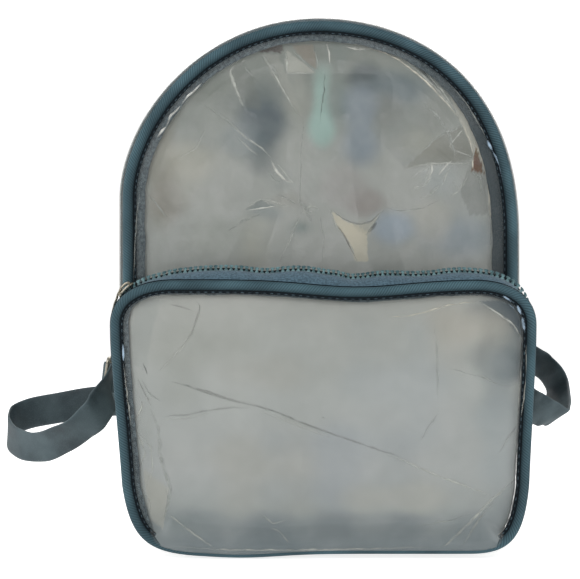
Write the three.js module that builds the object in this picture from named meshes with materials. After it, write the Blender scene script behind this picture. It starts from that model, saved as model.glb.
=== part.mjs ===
// Clear stadium backpack: clear vinyl panels with slate-blue trim, a zipped body, a zipped front
// pocket and two flat shoulder straps. Lengths are millimetres. X runs to the right of the front
// view, Y runs from the front to the wearer's back and Z is up. The origin is the middle of the base.
import * as THREE from 'three';

// Driving sizes of the body
const bodyWidth = 232;
const bodyHeight = 308;
const bodyDepth = 80;
const domeHeightLeft = 104; // the curved top, above the straight sides
const domeHeightRight = 126.5;
const domeShoulderLeft = 0.4; // 0.552 is an ellipse, more is squarer beside the shoulder
const domeShoulderRight = 0.8;
const domeCrownLeft = 0.63; // the same beside the crown
const domeCrownRight = 0.4;
const bodyCornerWidth = 38;
const bodyCornerHeight = 44;
const bodyBaseTaper = 3; // how much narrower each side is just above the corner
const bodyLean = -1; // how far the soft body leans to the side above its base
const gussetBulgeTop = 4.2; // how far the side wall swells past the outline
const gussetBulgeLeft = 3.6;
const gussetBulgeRight = 3.4;
const gussetSkew = 0.45; // below 1, the side wall swells most just behind the front seam

// Driving sizes of the front pocket
const pocketOverhang = 3; // how far the pocket stands past each side of the body
const pocketWidth = bodyWidth + 2 * pocketOverhang;
const pocketHeight = 153;
const pocketLift = 2.2; // the pocket's lower edge above the floor
const pocketDepthTop = 36;
const pocketDepthBase = 35;
const pocketCornerWidthRight = 33;
const pocketCornerWidthLeft = 42.5;
const pocketCornerHeight = 38.5;
const pocketTopCornerWidth = 36;
const pocketTopCornerHeight = 25;
const pocketBaseTaperRight = 3.9;
const pocketBaseTaperLeft = 6.5;
const pocketBaseSag = 2.1; // the lower edge sags to the floor left of the middle
const pocketBaseSagAt = -0.387; // a share of half the pocket's width
const pocketBaseSagSpread = 0.25;
const pocketBaseSagHeight = 25; // the sag dies out at this height
const pocketTopDip = 4; // the top edge sags a little right of the middle
const pocketTopDipAt = 0.16; // a share of half the pocket's width
const pocketTopDipSpread = 0.32;
const pocketPanelBulge = 8;
const pocketCrest = 9; // how far the zip stands above the top piping
const pocketSideCrest = -1.2;
const pocketSeamInset = 5; // the pocket's seam on the body, inside the pocket's outline
const seamStepStart = 1; // the seam steps from the piping to the panel past the piping
const seamStepEnd = 7;

// Driving sizes of the material and trim
const sheetThickness = 1;
const pipingDiameter = 6.4;
const pocketPipingDiameter = 5.6;
const bindingWidth = 6;
const pocketBindingWidth = 4;
const bindingThickness = 1;
const tapeThickness = 1;
const chainWidth = 5;
const chainThickness = 2.6;
const toothPitch = 2.9;
const bodyTapeWidth = 9;
const pocketTapeWidth = 10;
const bodyFrontStripWidth = 11; // clear strip between the front piping and the zip
const bodyZipEnd = 108; // height where the body's zip stops on each side
const pocketZipEnd = 104;
const bodySliderPlace = 34; // from the zip's right end to its slider, along the zip
const pocketSliderPlace = 46; // from the zip's left end to its slider
const filmThickness = 1;
const bodyFilmFaceInset = 13; // from the panel's outline to the film's flat face
const bodyFilmWallInset = 9.5; // from the panel's outline to the film's side wall
const bodyFilmDepth = 50;
const pocketFilmFaceInset = 10.5;
const pocketFilmWallInset = 8.5;
const pocketFilmDepth = 18;
const pocketFilmBulge = 4.8;
const filmFlatShare = 0.6; // of the way out, where the film's face leaves its flat middle
const filmStandoff = 1.6; // behind the seam binding
const seamGap = 0.3; // between pieces that meet

// Driving sizes of the straps
const strapWidth = 20.5;
const strapThickness = 1.6;
const strapSpacing = 60; // between the middles of the two straps on the yoke
const yokeWidth = 96;
const yokeHeight = 26;
const yokeDrop = 18; // from the top of the body to the yoke
const anchorWidth = 18;
const anchorHeight = 27;
const anchorClearance = 1.2; // from the back piping to the anchor
const leftAnchorRise = 0.255; // the anchors' heights, as shares of the body's height
const rightAnchorRise = 0.343;
const strapEndInset = 3; // from the yoke's top to the strap's end
const strapEndReach = 0.3; // of the anchor's width, from its middle to the strap's end
const strapTail = 5; // of the upper strap, past the slider's far bar
const strapLead = 4; // of the lower strap, past the slider's near bar
const padThickness = 3; // of the yoke and the two anchors, sewn to the back panel
const sliderWireWidth = 3;
const sliderThickness = 2.2;
const sliderSlot = 5.4; // each of the slider's two slots, along the strap
const sliderPlay = 0.6; // between the strap's edges and the slider's ends
const zipSliderHeight = 2.6;

// Facet counts
const outlineDetail = 360; // points that each half outline is first measured with
const turningMark = 60; // millimetres of outline that one radian of turning counts as
const outlineStations = 54;
const pipingSides = 8;
const filmStations = 30;
const archStations = 28;
const gussetStations = 40;

const pipingRadius = pipingDiameter / 2;
const pocketPipingRadius = pocketPipingDiameter / 2;
const bodyFrontY = -(bodyDepth / 2 - pipingRadius); // middle of the front piping
const bodyBackY = -bodyFrontY;

const vinyl = { color: 0xc9cfce, roughness: 0.12, metalness: 0, transparent: true, opacity: 0.35 };
const film = { color: 0xa9afab, roughness: 0.3, metalness: 0, transparent: true, opacity: 0.8 };
const slateLeather = { color: 0x3f5a66, roughness: 0.55, metalness: 0 };
const slateTape = { color: 0x54707f, roughness: 0.85, metalness: 0 };
const slateStrap = { color: 0x4c5f66, roughness: 0.6, metalness: 0 };
const slateTeeth = { color: 0x2e4a52, roughness: 0.4, metalness: 0 };
const nickel = { color: 0xa7a294, roughness: 0.3, metalness: 1 };

const smoothStep = (from, to, value) => THREE.MathUtils.smoothstep(value, from, to);
const mix = THREE.MathUtils.lerp;

// Finds where a value falls in a rising table, and how far it is to the next entry
function lookUp(table, value) {
  let index = 1;
  while (index < table.length - 1 && table[index] < value) index += 1;
  return { index: index - 1, within: (value - table[index - 1]) / (table[index] - table[index - 1]) };
}

// A closed outline in the XZ plane, measured by its length. It starts at the middle of the base and
// runs up the right side, over the top and down the left side. Its marks count length and turning
// together, so that stations at equal marks stand closer where the outline turns.
class Outline {
  constructor(rightHalf, leftHalf) {
    this.points = [...rightHalf, ...leftHalf.slice(1, -1).reverse()];
    const count = this.points.length;
    this.lengths = [0];
    this.marks = [0];
    this.points.forEach((point, i) => {
      const next = this.points[(i + 1) % count];
      const before = point.clone().sub(this.points[(i + count - 1) % count]);
      const step = next.clone().sub(point);
      const turn = Math.abs(Math.atan2(before.cross(step), before.dot(step)));
      this.lengths.push(this.lengths[i] + step.length());
      this.marks.push(this.marks[i] + step.length() + turningMark * turn);
    });
    this.total = this.lengths.at(-1);
  }

  place(share) {
    const { index, within } = lookUp(this.lengths, (share - Math.floor(share)) * this.total);
    const next = this.points[(index + 1) % this.points.length];
    return this.points[index].clone().lerp(next, within);
  }

  // A frame on the outline: its point, the outward direction and its share of the way round
  frame(share) {
    const step = 2 / this.total;
    const ahead = this.place(share + step).sub(this.place(share - step)).normalize();
    const point = this.place(share);
    return { x: point.x, z: point.y, nx: ahead.y, nz: -ahead.x, share };
  }

  markAt(share) {
    const turns = Math.floor(share);
    const { index, within } = lookUp(this.lengths, (share - turns) * this.total);
    return turns * this.marks.at(-1) + mix(this.marks[index], this.marks[index + 1], within);
  }

  shareAt(mark) {
    const turns = Math.floor(mark / this.marks.at(-1));
    const { index, within } = lookUp(this.marks, mark - turns * this.marks.at(-1));
    return turns + mix(this.lengths[index], this.lengths[index + 1], within) / this.total;
  }

  frames(count, from = 0, to = 1) {
    const steps = to - from >= 1 ? count : count - 1;
    const start = this.markAt(from);
    const span = this.markAt(to) - start;
    return Array.from({ length: count }, (_, i) => this.frame(this.shareAt(start + (span * i) / steps)));
  }

  evenFrames(count, from, to) {
    return Array.from({ length: count }, (_, i) => this.frame(mix(from, to, i / (count - 1))));
  }

  // The shares of the way round where the right and the left side reach a height
  sharesAtHeight(height) {
    const samples = Array.from({ length: outlineDetail * 2 }, (_, i) => i / (outlineDetail * 2));
    const above = samples.filter((share) => this.place(share).y >= height);
    return [above[0], above.at(-1)];
  }
}

// One half outline from the middle of the base to the middle of the top
function halfOutline(side, draw) {
  const path = new THREE.Path();
  draw(path);
  return path.getSpacedPoints(outlineDetail).map((p) => new THREE.Vector2(side * p.x, p.y));
}

function bodyHalf(side, domeHeight, shoulder, crown) {
  const half = bodyWidth / 2;
  const low = half - bodyBaseTaper;
  const domeBase = bodyHeight - domeHeight;
  const sideMiddle = mix(bodyCornerHeight, domeBase, 0.5);
  const points = halfOutline(side, (path) => {
    path.moveTo(0, 0);
    path.lineTo(low - bodyCornerWidth, 0);
    path.bezierCurveTo(
      low - bodyCornerWidth * 0.36, 0,
      low - bodyBaseTaper * 0.6, bodyCornerHeight * 0.3,
      low, bodyCornerHeight,
    );
    path.bezierCurveTo(
      mix(low, half, 0.45), mix(bodyCornerHeight, sideMiddle, 0.35),
      half, mix(bodyCornerHeight, sideMiddle, 0.6),
      half, sideMiddle,
    );
    path.lineTo(half, domeBase);
    path.bezierCurveTo(
      half, domeBase + domeHeight * shoulder,
      half * crown, bodyHeight,
      0, bodyHeight,
    );
  });
  return points.map((p) => {
    const lean = bodyLean * smoothStep(bodyCornerHeight, bodyHeight / 2, p.y);
    return new THREE.Vector2(p.x + lean, p.y);
  });
}

// How far the pocket's edge sags at x, by a smooth dip round a share of half its width
function pocketSag(x, depth, at, spread) {
  const away = ((2 * x) / pocketWidth - at) / spread;
  return depth * Math.exp(-away * away);
}

function pocketHalf(side, cornerWidth, taper) {
  const half = pocketWidth / 2;
  const low = half - taper;
  const fullHeight = pocketHeight - pocketTopCornerHeight;
  const points = halfOutline(side, (path) => {
    path.moveTo(0, 0);
    path.lineTo(low - cornerWidth, 0);
    path.bezierCurveTo(
      low - cornerWidth * 0.3, 0,
      low - taper * 0.7, pocketCornerHeight * 0.25,
      low, pocketCornerHeight,
    );
    path.bezierCurveTo(
      mix(low, half, 0.4), mix(pocketCornerHeight, fullHeight, 0.4),
      half, mix(pocketCornerHeight, fullHeight, 0.75),
      half, fullHeight,
    );
    path.bezierCurveTo(
      half, mix(fullHeight, pocketHeight, 0.6),
      half - pocketTopCornerWidth * 0.35, pocketHeight,
      half - pocketTopCornerWidth, pocketHeight,
    );
    path.lineTo(0, pocketHeight);
  });
  return points.map((p) => {
    const topShare = smoothStep(pocketHeight - pocketTopCornerHeight, pocketHeight, p.y);
    const baseShare = 1 - smoothStep(0, pocketBaseSagHeight, p.y);
    const topSag = pocketSag(p.x, pocketTopDip, pocketTopDipAt, pocketTopDipSpread);
    const baseSag = pocketSag(p.x, pocketBaseSag, pocketBaseSagAt, pocketBaseSagSpread);
    return new THREE.Vector2(p.x, p.y + pocketLift - topSag * topShare - baseSag * baseShare);
  });
}

const bodyOutline = new Outline(
  bodyHalf(1, domeHeightRight, domeShoulderRight, domeCrownRight),
  bodyHalf(-1, domeHeightLeft, domeShoulderLeft, domeCrownLeft),
);
const pocketOutline = new Outline(
  pocketHalf(1, pocketCornerWidthRight, pocketBaseTaperRight),
  pocketHalf(-1, pocketCornerWidthLeft, pocketBaseTaperLeft),
);

// The middle of the pocket's piping leans back towards the base
function pocketFrontY(z) {
  const share = THREE.MathUtils.clamp((z - pocketLift) / pocketHeight, 0, 1);
  return bodyFrontY - mix(pocketDepthBase, pocketDepthTop, share);
}

// How far a point lies from the body's outline
function distanceToBodyOutline(x, z) {
  const point = new THREE.Vector2(x, z);
  return Math.min(...bodyOutline.points.map((p) => p.distanceTo(point)));
}

// Where the pocket's walls meet the body: on its piping, or on its panel further in
function pocketSeamY(x, z) {
  const onPiping = bodyFrontY - pipingRadius - seamGap;
  const onPanel = bodyFrontY - sheetThickness / 2 - seamGap;
  const inwards = distanceToBodyOutline(x, z);
  const [start, end] = [seamStepStart, seamStepEnd].map((step) => pipingDiameter + step);
  return mix(onPiping, onPanel, smoothStep(start, end, inwards));
}

// A closed solid from loops of equal length. Its ends are capped with the triangles of one loop.
function solid(loops, { closed = false, caps = [] } = {}) {
  const count = loops[0].length;
  const positions = loops.flat().flatMap((p) => [p.x, p.y, p.z]);
  const index = [];
  const lastLoop = closed ? loops.length : loops.length - 1;
  for (let i = 0; i < lastLoop; i += 1) {
    const here = i * count;
    const next = ((i + 1) % loops.length) * count;
    for (let j = 0; j < count; j += 1) {
      const k = (j + 1) % count;
      index.push(here + j, next + j, next + k, here + j, next + k, here + k);
    }
  }
  // The walls hold each first edge backwards, so the first cap has to hold it forwards
  const forwards = caps.some((face) => face.some((v, i) => v === 0 && face[(i + 1) % 3] === 1));
  const last = (loops.length - 1) * count;
  for (const [a, b, c] of caps) {
    const [p, q, r] = forwards ? [a, b, c] : [a, c, b];
    index.push(p, q, r, last + p, last + r, last + q);
  }
  return outwardGeometry(positions, index);
}

// A closed solid from rings between two single points, such as a panel or a cup
function shell(firstPoint, rings, lastPoint) {
  const count = rings[0].length;
  const all = [firstPoint, ...rings.flat(), lastPoint];
  const positions = all.flatMap((p) => [p.x, p.y, p.z]);
  const index = [];
  const end = all.length - 1;
  for (let j = 0; j < count; j += 1) {
    const k = (j + 1) % count;
    const lastRing = 1 + (rings.length - 1) * count;
    index.push(0, 1 + j, 1 + k, end, lastRing + k, lastRing + j);
    for (let i = 0; i < rings.length - 1; i += 1) {
      const here = 1 + i * count;
      const next = here + count;
      index.push(here + j, next + j, next + k, here + j, next + k, here + k);
    }
  }
  return outwardGeometry(positions, index);
}

// Turns every face outwards, by the sign of the volume that the faces hold
function outwardGeometry(positions, index) {
  const corner = (i) => new THREE.Vector3().fromArray(positions, index[i] * 3);
  let volume = 0;
  for (let i = 0; i < index.length; i += 3) {
    volume += corner(i).dot(corner(i + 1).cross(corner(i + 2)));
  }
  if (volume < 0) {
    for (let i = 0; i < index.length; i += 3) {
      [index[i + 1], index[i + 2]] = [index[i + 2], index[i + 1]];
    }
  }
  const geometry = new THREE.BufferGeometry();
  geometry.setAttribute('position', new THREE.Float32BufferAttribute(positions, 3));
  geometry.setIndex(index);
  geometry.computeVertexNormals();
  return geometry;
}

// Sweeps a section of [depth, out] corners along frames of an outline
function sweep(frames, sectionAt, closed = false) {
  const sections = frames.map((f) => sectionAt(f));
  const loops = sections.map((section, i) => section.map(([depth, out]) => {
    const f = frames[i];
    return new THREE.Vector3(f.x + f.nx * out, depth, f.z + f.nz * out);
  }));
  const flat = sections[0].map(([depth, out]) => new THREE.Vector2(depth, out));
  return solid(loops, { closed, caps: closed ? [] : THREE.ShapeUtils.triangulateShape(flat, []) });
}

// The way outwards from a wall at a share of its depth, as [depth, out]
function wallNormal(wall, f, q) {
  const ahead = wall(f, Math.min(1, q + 0.01));
  const behind = wall(f, Math.max(0, q - 0.01));
  const along = new THREE.Vector2(ahead[0] - behind[0], ahead[1] - behind[1]).normalize();
  return [-along.y, along.x];
}

// A point of a wall, moved outwards by lift
function wallPoint(wall, f, q, lift) {
  const [depth, out] = wall(f, q);
  const [nDepth, nOut] = wallNormal(wall, f, q);
  return [depth + nDepth * lift, out + nOut * lift];
}

// A thin section between two depth shares of a wall, thickened inwards
function wallSection(wall, f, from, to, pieces, thickness) {
  const shares = Array.from({ length: pieces + 1 }, (_, i) => mix(from, to, i / pieces));
  return [
    ...shares.map((q) => wall(f, q)),
    ...shares.reverse().map((q) => wallPoint(wall, f, q, -thickness)),
  ];
}

// The body's side wall, by the share of the way from the front seam to the back seam
const wallStartY = bodyFrontY + pipingRadius + seamGap;
const wallSpan = bodyBackY - bodyFrontY - pipingDiameter - 2 * seamGap;

function bodyWall(f, q) {
  const sideShare = smoothStep(0, bodyCornerHeight, f.z);
  const sideBulge = f.nx < 0 ? gussetBulgeLeft : gussetBulgeRight;
  const bulge = mix(sideBulge, gussetBulgeTop, Math.max(0, f.nz) ** 2);
  const swell = (bulge + pipingRadius) * Math.sin(Math.PI * q ** gussetSkew) ** 0.5;
  return [wallStartY + wallSpan * q, sideShare * (swell - pipingRadius)];
}

// The pocket's side wall, from its piping back to the seam on the body
const pocketWallStart = pocketPipingRadius + seamGap;
const pocketWallSpan = pocketDepthTop - pocketWallStart - pipingRadius;

function pocketWall(f, q) {
  const front = pocketFrontY(f.z) + pocketWallStart;
  const back = pocketSeamY(f.x - f.nx * pocketSeamInset, f.z - f.nz * pocketSeamInset);
  const up = Math.max(0, f.nz);
  const crest = mix(pocketSideCrest, pocketCrest, up * up);
  const line = mix(-pocketPipingRadius, -pocketSeamInset, q);
  const rise = Math.sin(Math.PI * q ** 0.85);
  return [mix(front, back, q), line + (crest + pocketPipingRadius) * rise];
}

function piping(outline, radius, depthAt) {
  return sweep(outline.frames(outlineStations), (f) => (
    Array.from({ length: pipingSides }, (_, i) => {
      const angle = (2 * Math.PI * (i + 0.5)) / pipingSides;
      return [depthAt(f.z) + radius * Math.cos(angle), radius * (Math.sin(angle) - 1)];
    })
  ), true);
}

// A seam binding lies flat behind the panel's edge
function seamBinding(outline, radius, panelY, width) {
  const start = -(2 * radius + seamGap);
  return sweep(outline.frames(outlineStations), (f) => {
    const front = panelY(f.z) + sheetThickness / 2 + seamGap;
    return [
      [front, start],
      [front, start - width],
      [front + bindingThickness, start - width],
      [front + bindingThickness, start],
    ];
  }, true);
}

// A ring inside an outline, drawn in towards a centre by a share
function ringAt(outline, stations, inset, share, centre, depthAt) {
  return outline.frames(stations).map((f) => {
    const x = mix(centre.x, f.x - f.nx * inset, share);
    const z = mix(centre.z, f.z - f.nz * inset, share);
    return new THREE.Vector3(x, depthAt(z, share), z);
  });
}

// A clear panel inside its piping, which swells to the front by bulge
function panel(outline, radius, planeY, bulge, shares, centre) {
  const depth = (offset) => (z, share) => planeY(z) - bulge * (1 - share ** 3) + offset;
  const front = depth(-sheetThickness / 2);
  const back = depth(sheetThickness / 2);
  const ring = (share, at) => (
    ringAt(outline, outlineStations, 2 * radius + seamGap, share, centre, at)
  );
  const middle = (at) => new THREE.Vector3(centre.x, at(centre.z, 0), centre.z);
  const rings = [
    ...shares.map((share) => ring(share, front)),
    ...shares.slice().reverse().map((share) => ring(share, back)),
  ];
  return shell(middle(front), rings, middle(back));
}

// The loose film inside a panel: a cup whose face lies behind the panel and whose wall runs back
function filmCup(outline, planeY, sizes, centre) {
  const { faceInset, wallInset, depth, bulge } = sizes;
  const behind = sheetThickness / 2 + seamGap + bindingThickness + filmStandoff;
  const layers = [
    { inset: faceInset, share: filmFlatShare, back: -bulge },
    { inset: faceInset, share: 1, back: 0 },
    { inset: wallInset, share: 1, back: faceInset - wallInset },
    { inset: wallInset, share: 1, back: depth },
  ];
  const ring = (layer, lift, inwards) => ringAt(
    outline,
    filmStations,
    layer.inset + inwards,
    layer.share,
    centre,
    (z) => planeY(z) + behind + layer.back + (layer.back === depth ? 0 : lift),
  );
  const rings = [
    ...layers.map((layer) => ring(layer, 0, 0)),
    ...layers.slice().reverse().map((layer) => ring(layer, filmThickness, filmThickness)),
  ];
  const middle = (lift) => (
    new THREE.Vector3(centre.x, planeY(centre.z) + behind - bulge + lift, centre.z)
  );
  return shell(middle(0), rings, middle(filmThickness));
}

function wallPiece(outline, wall, range, shares, pieces, stations, thickness) {
  const frames = outline.frames(stations, range[0], range[1]);
  return sweep(frames, (f) => wallSection(wall, f, shares[0], shares[1], pieces, thickness));
}

// The zip's chain: a ridge along the wall, toothed at each pitch where a pitch is given
function zipChain(outline, wall, range, shares, pitch) {
  const length = (range[1] - range[0]) * outline.total;
  const stations = pitch ? 2 * Math.round(length / pitch) + 1 : archStations;
  const frames = pitch
    ? outline.evenFrames(stations, range[0], range[1])
    : outline.frames(stations, range[0], range[1]);
  const middle = mix(shares[0], shares[1], 0.5);
  return sweep(frames.map((f, i) => ({ ...f, valley: pitch && i % 2 })), (f) => [
    wallPoint(wall, f, mix(shares[0], middle, f.valley ? 0.5 : 0), -chainThickness / 2),
    wallPoint(wall, f, middle, f.valley ? 0 : chainThickness / 2),
    wallPoint(wall, f, mix(shares[1], middle, f.valley ? 0.5 : 0), -chainThickness / 2),
  ]);
}

// A zip slider and its pull, as one plain piece: sections along the zip from nose to pull end
const zipSliderRows = [
  { along: -5, halfWidth: 2.2, low: 0, high: 0.6 },
  { along: -2.5, halfWidth: 3.6, low: 0, high: 0.75 },
  { along: 2, halfWidth: 3.8, low: 0, high: 0.8 },
  { along: 4.5, halfWidth: 2.4, low: 0.1, high: 1 },
  { along: 7, halfWidth: 1.6, low: 0.25, high: 0.85 },
  { along: 13, halfWidth: 2.2, low: 0.1, high: 0.6 },
  { along: 16, halfWidth: 3.4, low: 0.05, high: 0.55 },
  { along: 24, halfWidth: 3.4, low: 0.05, high: 0.55 },
  { along: 27, halfWidth: 2, low: 0.1, high: 0.5 },
];

function zipSlider(outline, wall, share, middle, direction) {
  const rise = chainThickness / 2 + seamGap;
  const frames = zipSliderRows.map((row) => (
    { ...outline.frame(share + (direction * row.along) / outline.total), row }
  ));
  return sweep(frames, (f) => {
    const [depth, out] = wall(f, middle);
    const [nDepth, nOut] = wallNormal(wall, f, middle);
    const corner = (side, lift) => {
      const up = rise + zipSliderHeight * lift;
      const across = side * f.row.halfWidth;
      return [depth + nDepth * up + nOut * across, out + nOut * up - nDepth * across];
    };
    return [
      corner(-1, f.row.low), corner(1, f.row.low), corner(1, f.row.high), corner(-1, f.row.high),
    ];
  });
}

// A ribbon through rows of places and width directions, with a number of steps up to each row
class Ribbon {
  constructor(rows) {
    this.rows = rows;
    this.curve = new THREE.CatmullRomCurve3(rows.map((row) => row.place), false, 'centripetal');
  }

  frameAt(row, within) {
    const last = this.rows.length - 1;
    const at = (row + within) / last;
    const along = this.curve.getTangent(at);
    const next = this.rows[Math.min(row + 1, last)];
    const raw = this.rows[row].width.clone().lerp(next.width, smoothStep(0, 1, within));
    const across = raw.addScaledVector(along, -raw.dot(along)).normalize();
    return { place: this.curve.getPoint(at), across, out: along.clone().cross(across) };
  }

  geometry(width, thickness) {
    const frames = [this.frameAt(0, 0)];
    this.rows.slice(1).forEach((row, i) => {
      for (let step = 1; step <= row.steps; step += 1) {
        frames.push(this.frameAt(i, step / row.steps));
      }
    });
    const corners = [[-1, -1], [1, -1], [1, 1], [-1, 1]];
    const loops = frames.map(({ place, across, out }) => corners.map(([a, b]) => (
      place.clone()
        .addScaledVector(across, (a * width) / 2)
        .addScaledVector(out, (b * thickness) / 2)
    )));
    return solid(loops, { caps: [[0, 1, 2], [0, 2, 3]] });
  }
}

// Strap rows as shares of half the body's width, half its depth and its height. wx, wy and wz give
// the direction of the strap's width. An upper strap runs from the yoke to its slider, and a lower
// strap runs from the slider round the loop at the bag's side to its anchor.
const straps = [
  {
    name: 'left',
    side: -1,
    anchorZ: leftAnchorRise * bodyHeight,
    slider: { x: -1.149, y: 0.35, z: 0.306, across: [-0.13, 0, -0.99] },
    upper: [
      { x: -0.265, y: 1.09, z: 0.8, wx: 1, wy: 0, wz: 0, steps: 1 },
      { x: -0.3, y: 1.3, z: 0.68, wx: 1, wy: 0, wz: -0.15, steps: 2 },
      { x: -0.41, y: 1.5, z: 0.56, wx: 0.92, wy: 0, wz: -0.38, steps: 2 },
      { x: -0.58, y: 1.58, z: 0.455, wx: 0.75, wy: 0.1, wz: -0.65, steps: 2 },
      { x: -0.81, y: 1.6, z: 0.375, wx: 0.5, wy: 0.1, wz: -0.86, steps: 2 },
      { x: -1.035, y: 1.38, z: 0.33, wx: 0.2, wy: 0.1, wz: -0.98, steps: 3 },
      { x: -1.14, y: 0.92, z: 0.31, wx: -0.1, wy: 0, wz: -0.99, steps: 3 },
    ],
    lower: [
      { x: -1.15, y: -0.2, z: 0.262, wx: 0.1, wy: -0.2, wz: -0.97, steps: 3 },
      { x: -1.185, y: -0.3, z: 0.239, wx: 0.3, wy: 0.3, wz: -0.9, steps: 2 },
      { x: -1.272, y: -0.25, z: 0.21, wx: 0.36, wy: 0.6, wz: -0.7, steps: 2 },
      { x: -1.391, y: -0.05, z: 0.185, wx: 0.24, wy: 0.5, wz: -0.82, steps: 2 },
      { x: -1.511, y: 0.225, z: 0.167, wx: 0.15, wy: 0.35, wz: -0.92, steps: 2 },
      { x: -1.648, y: 0.55, z: 0.17, wx: 0.06, wy: 0.1, wz: -1, steps: 2 },
      { x: -1.734, y: 0.95, z: 0.187, wx: -0.03, wy: 0, wz: -1, steps: 3 },
      { x: -1.73, y: 1.25, z: 0.206, wx: -0.09, wy: 0, wz: -1, steps: 2 },
      { x: -1.653, y: 1.45, z: 0.219, wx: -0.19, wy: 0, wz: -0.98, steps: 2 },
      { x: -1.483, y: 1.53, z: 0.231, wx: -0.2, wy: 0, wz: -0.98, steps: 2 },
      { x: -1.308, y: 1.48, z: 0.243, wx: -0.2, wy: 0, wz: -0.98, steps: 1 },
      { x: -1.141, y: 1.33, z: 0.249, wx: -0.13, wy: 0, wz: -0.99, steps: 2 },
    ],
  },
  {
    name: 'right',
    side: 1,
    anchorZ: rightAnchorRise * bodyHeight,
    slider: { x: 1.101, y: 0.35, z: 0.273, across: [0, 0, -1] },
    upper: [
      { x: 0.265, y: 1.09, z: 0.8, wx: -1, wy: 0, wz: 0, steps: 1 },
      { x: 0.3, y: 1.3, z: 0.68, wx: -1, wy: 0, wz: -0.15, steps: 2 },
      { x: 0.39, y: 1.5, z: 0.55, wx: -0.92, wy: 0, wz: -0.38, steps: 2 },
      { x: 0.52, y: 1.62, z: 0.435, wx: -0.75, wy: 0.1, wz: -0.65, steps: 2 },
      { x: 0.74, y: 1.66, z: 0.325, wx: -0.5, wy: 0.1, wz: -0.86, steps: 2 },
      { x: 0.99, y: 1.42, z: 0.275, wx: -0.2, wy: 0.1, wz: -0.98, steps: 3 },
      { x: 1.09, y: 0.92, z: 0.272, wx: 0, wy: 0, wz: -1, steps: 3 },
    ],
    lower: [
      { x: 1.121, y: -0.15, z: 0.255, wx: 0, wy: 0, wz: -1, steps: 3 },
      { x: 1.193, y: -0.1, z: 0.24, wx: -0.2, wy: 0.5, wz: -0.84, steps: 2 },
      { x: 1.267, y: 0.1, z: 0.229, wx: -0.46, wy: 0.73, wz: -0.5, steps: 2 },
      { x: 1.297, y: 0.33, z: 0.236, wx: -0.58, wy: 0.6, wz: -0.55, steps: 2 },
      { x: 1.315, y: 0.6, z: 0.247, wx: -0.66, wy: 0.43, wz: -0.61, steps: 3 },
      { x: 1.343, y: 1.05, z: 0.269, wx: -0.62, wy: 0.45, wz: -0.64, steps: 3 },
      { x: 1.348, y: 1.35, z: 0.295, wx: -0.44, wy: 0.65, wz: -0.62, steps: 3 },
      { x: 1.306, y: 1.5, z: 0.318, wx: -0.33, wy: 0.62, wz: -0.71, steps: 2 },
      { x: 1.252, y: 1.48, z: 0.329, wx: -0.2, wy: 0.45, wz: -0.87, steps: 2 },
      { x: 1.139, y: 1.38, z: 0.345, wx: -0.1, wy: 0, wz: -1, steps: 2 },
    ],
  },
];

const padOuterY = bodyBackY + sheetThickness / 2 + seamGap + padThickness;
const sewnStrapY = padOuterY + seamGap + strapThickness / 2;
const sliderStep = sliderWireWidth + sliderSlot;
const sliderHump = Math.hypot(sliderWireWidth, sliderThickness) / 2 + seamGap + strapThickness / 2;
const anchorEdge = bodyWidth / 2 - bodyBaseTaper - pipingDiameter - anchorClearance;
const anchorX = anchorEdge - anchorWidth / 2;
const yokeTop = bodyHeight - yokeDrop;

function bodyRow(row) {
  return {
    place: new THREE.Vector3((row.x * bodyWidth) / 2, (row.y * bodyDepth) / 2, row.z * bodyHeight),
    width: new THREE.Vector3(row.wx, row.wy, row.wz),
    steps: row.steps,
  };
}

// The slider's own frame: along the strap towards its loop, across it, and out from the bag
function sliderFrame({ slider, side }) {
  const { place } = bodyRow(slider);
  const across = new THREE.Vector3(...slider.across).normalize();
  const along = new THREE.Vector3(0, -1, 0);
  return { place, across, along, out: along.clone().cross(across).multiplyScalar(side) };
}

function sliderRow(frame, along, out, steps) {
  const place = frame.place.clone()
    .addScaledVector(frame.along, along)
    .addScaledVector(frame.out, out);
  return { place, width: frame.across.clone(), steps };
}

// From the yoke down to the slider, folded round the slider's far bar
function upperStrap(strap) {
  const x = (strap.side * strapSpacing) / 2;
  const width = new THREE.Vector3(-strap.side, 0, 0);
  const frame = sliderFrame(strap);
  const fold = [-90, -45, 0, 45, 90].map((degrees) => {
    const angle = THREE.MathUtils.degToRad(degrees);
    const along = -sliderStep + sliderHump * Math.cos(angle);
    return sliderRow(frame, along, sliderHump * Math.sin(angle), 1);
  });
  return new Ribbon([
    { place: new THREE.Vector3(x, sewnStrapY, yokeTop - strapEndInset), width, steps: 0 },
    { place: new THREE.Vector3(x, sewnStrapY, yokeTop - yokeHeight), width, steps: 1 },
    ...strap.upper.map(bodyRow),
    sliderRow(frame, -sliderStep - strapTail, -sliderHump, 2),
    ...fold,
    sliderRow(frame, -sliderStep - strapTail, sliderHump, 1),
  ]);
}

// Over the slider's middle bar, under its near bar, round the loop and onto the anchor
function lowerStrap(strap) {
  const frame = sliderFrame(strap);
  const width = new THREE.Vector3(0, 0, -1);
  const sewn = (x) => new THREE.Vector3(strap.side * x, sewnStrapY, strap.anchorZ);
  return new Ribbon([
    sliderRow(frame, -sliderStep * 0.3, sliderHump * 0.6, 0),
    sliderRow(frame, 0, sliderHump, 1),
    sliderRow(frame, sliderStep / 2, 0, 2),
    sliderRow(frame, sliderStep, -sliderHump, 2),
    sliderRow(frame, sliderStep + strapLead, -sliderHump, 1),
    ...strap.lower.map(bodyRow),
    { place: sewn(anchorX + anchorWidth / 2), width, steps: 3 },
    { place: sewn(anchorX - anchorWidth * strapEndReach), width, steps: 1 },
  ]);
}

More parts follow.
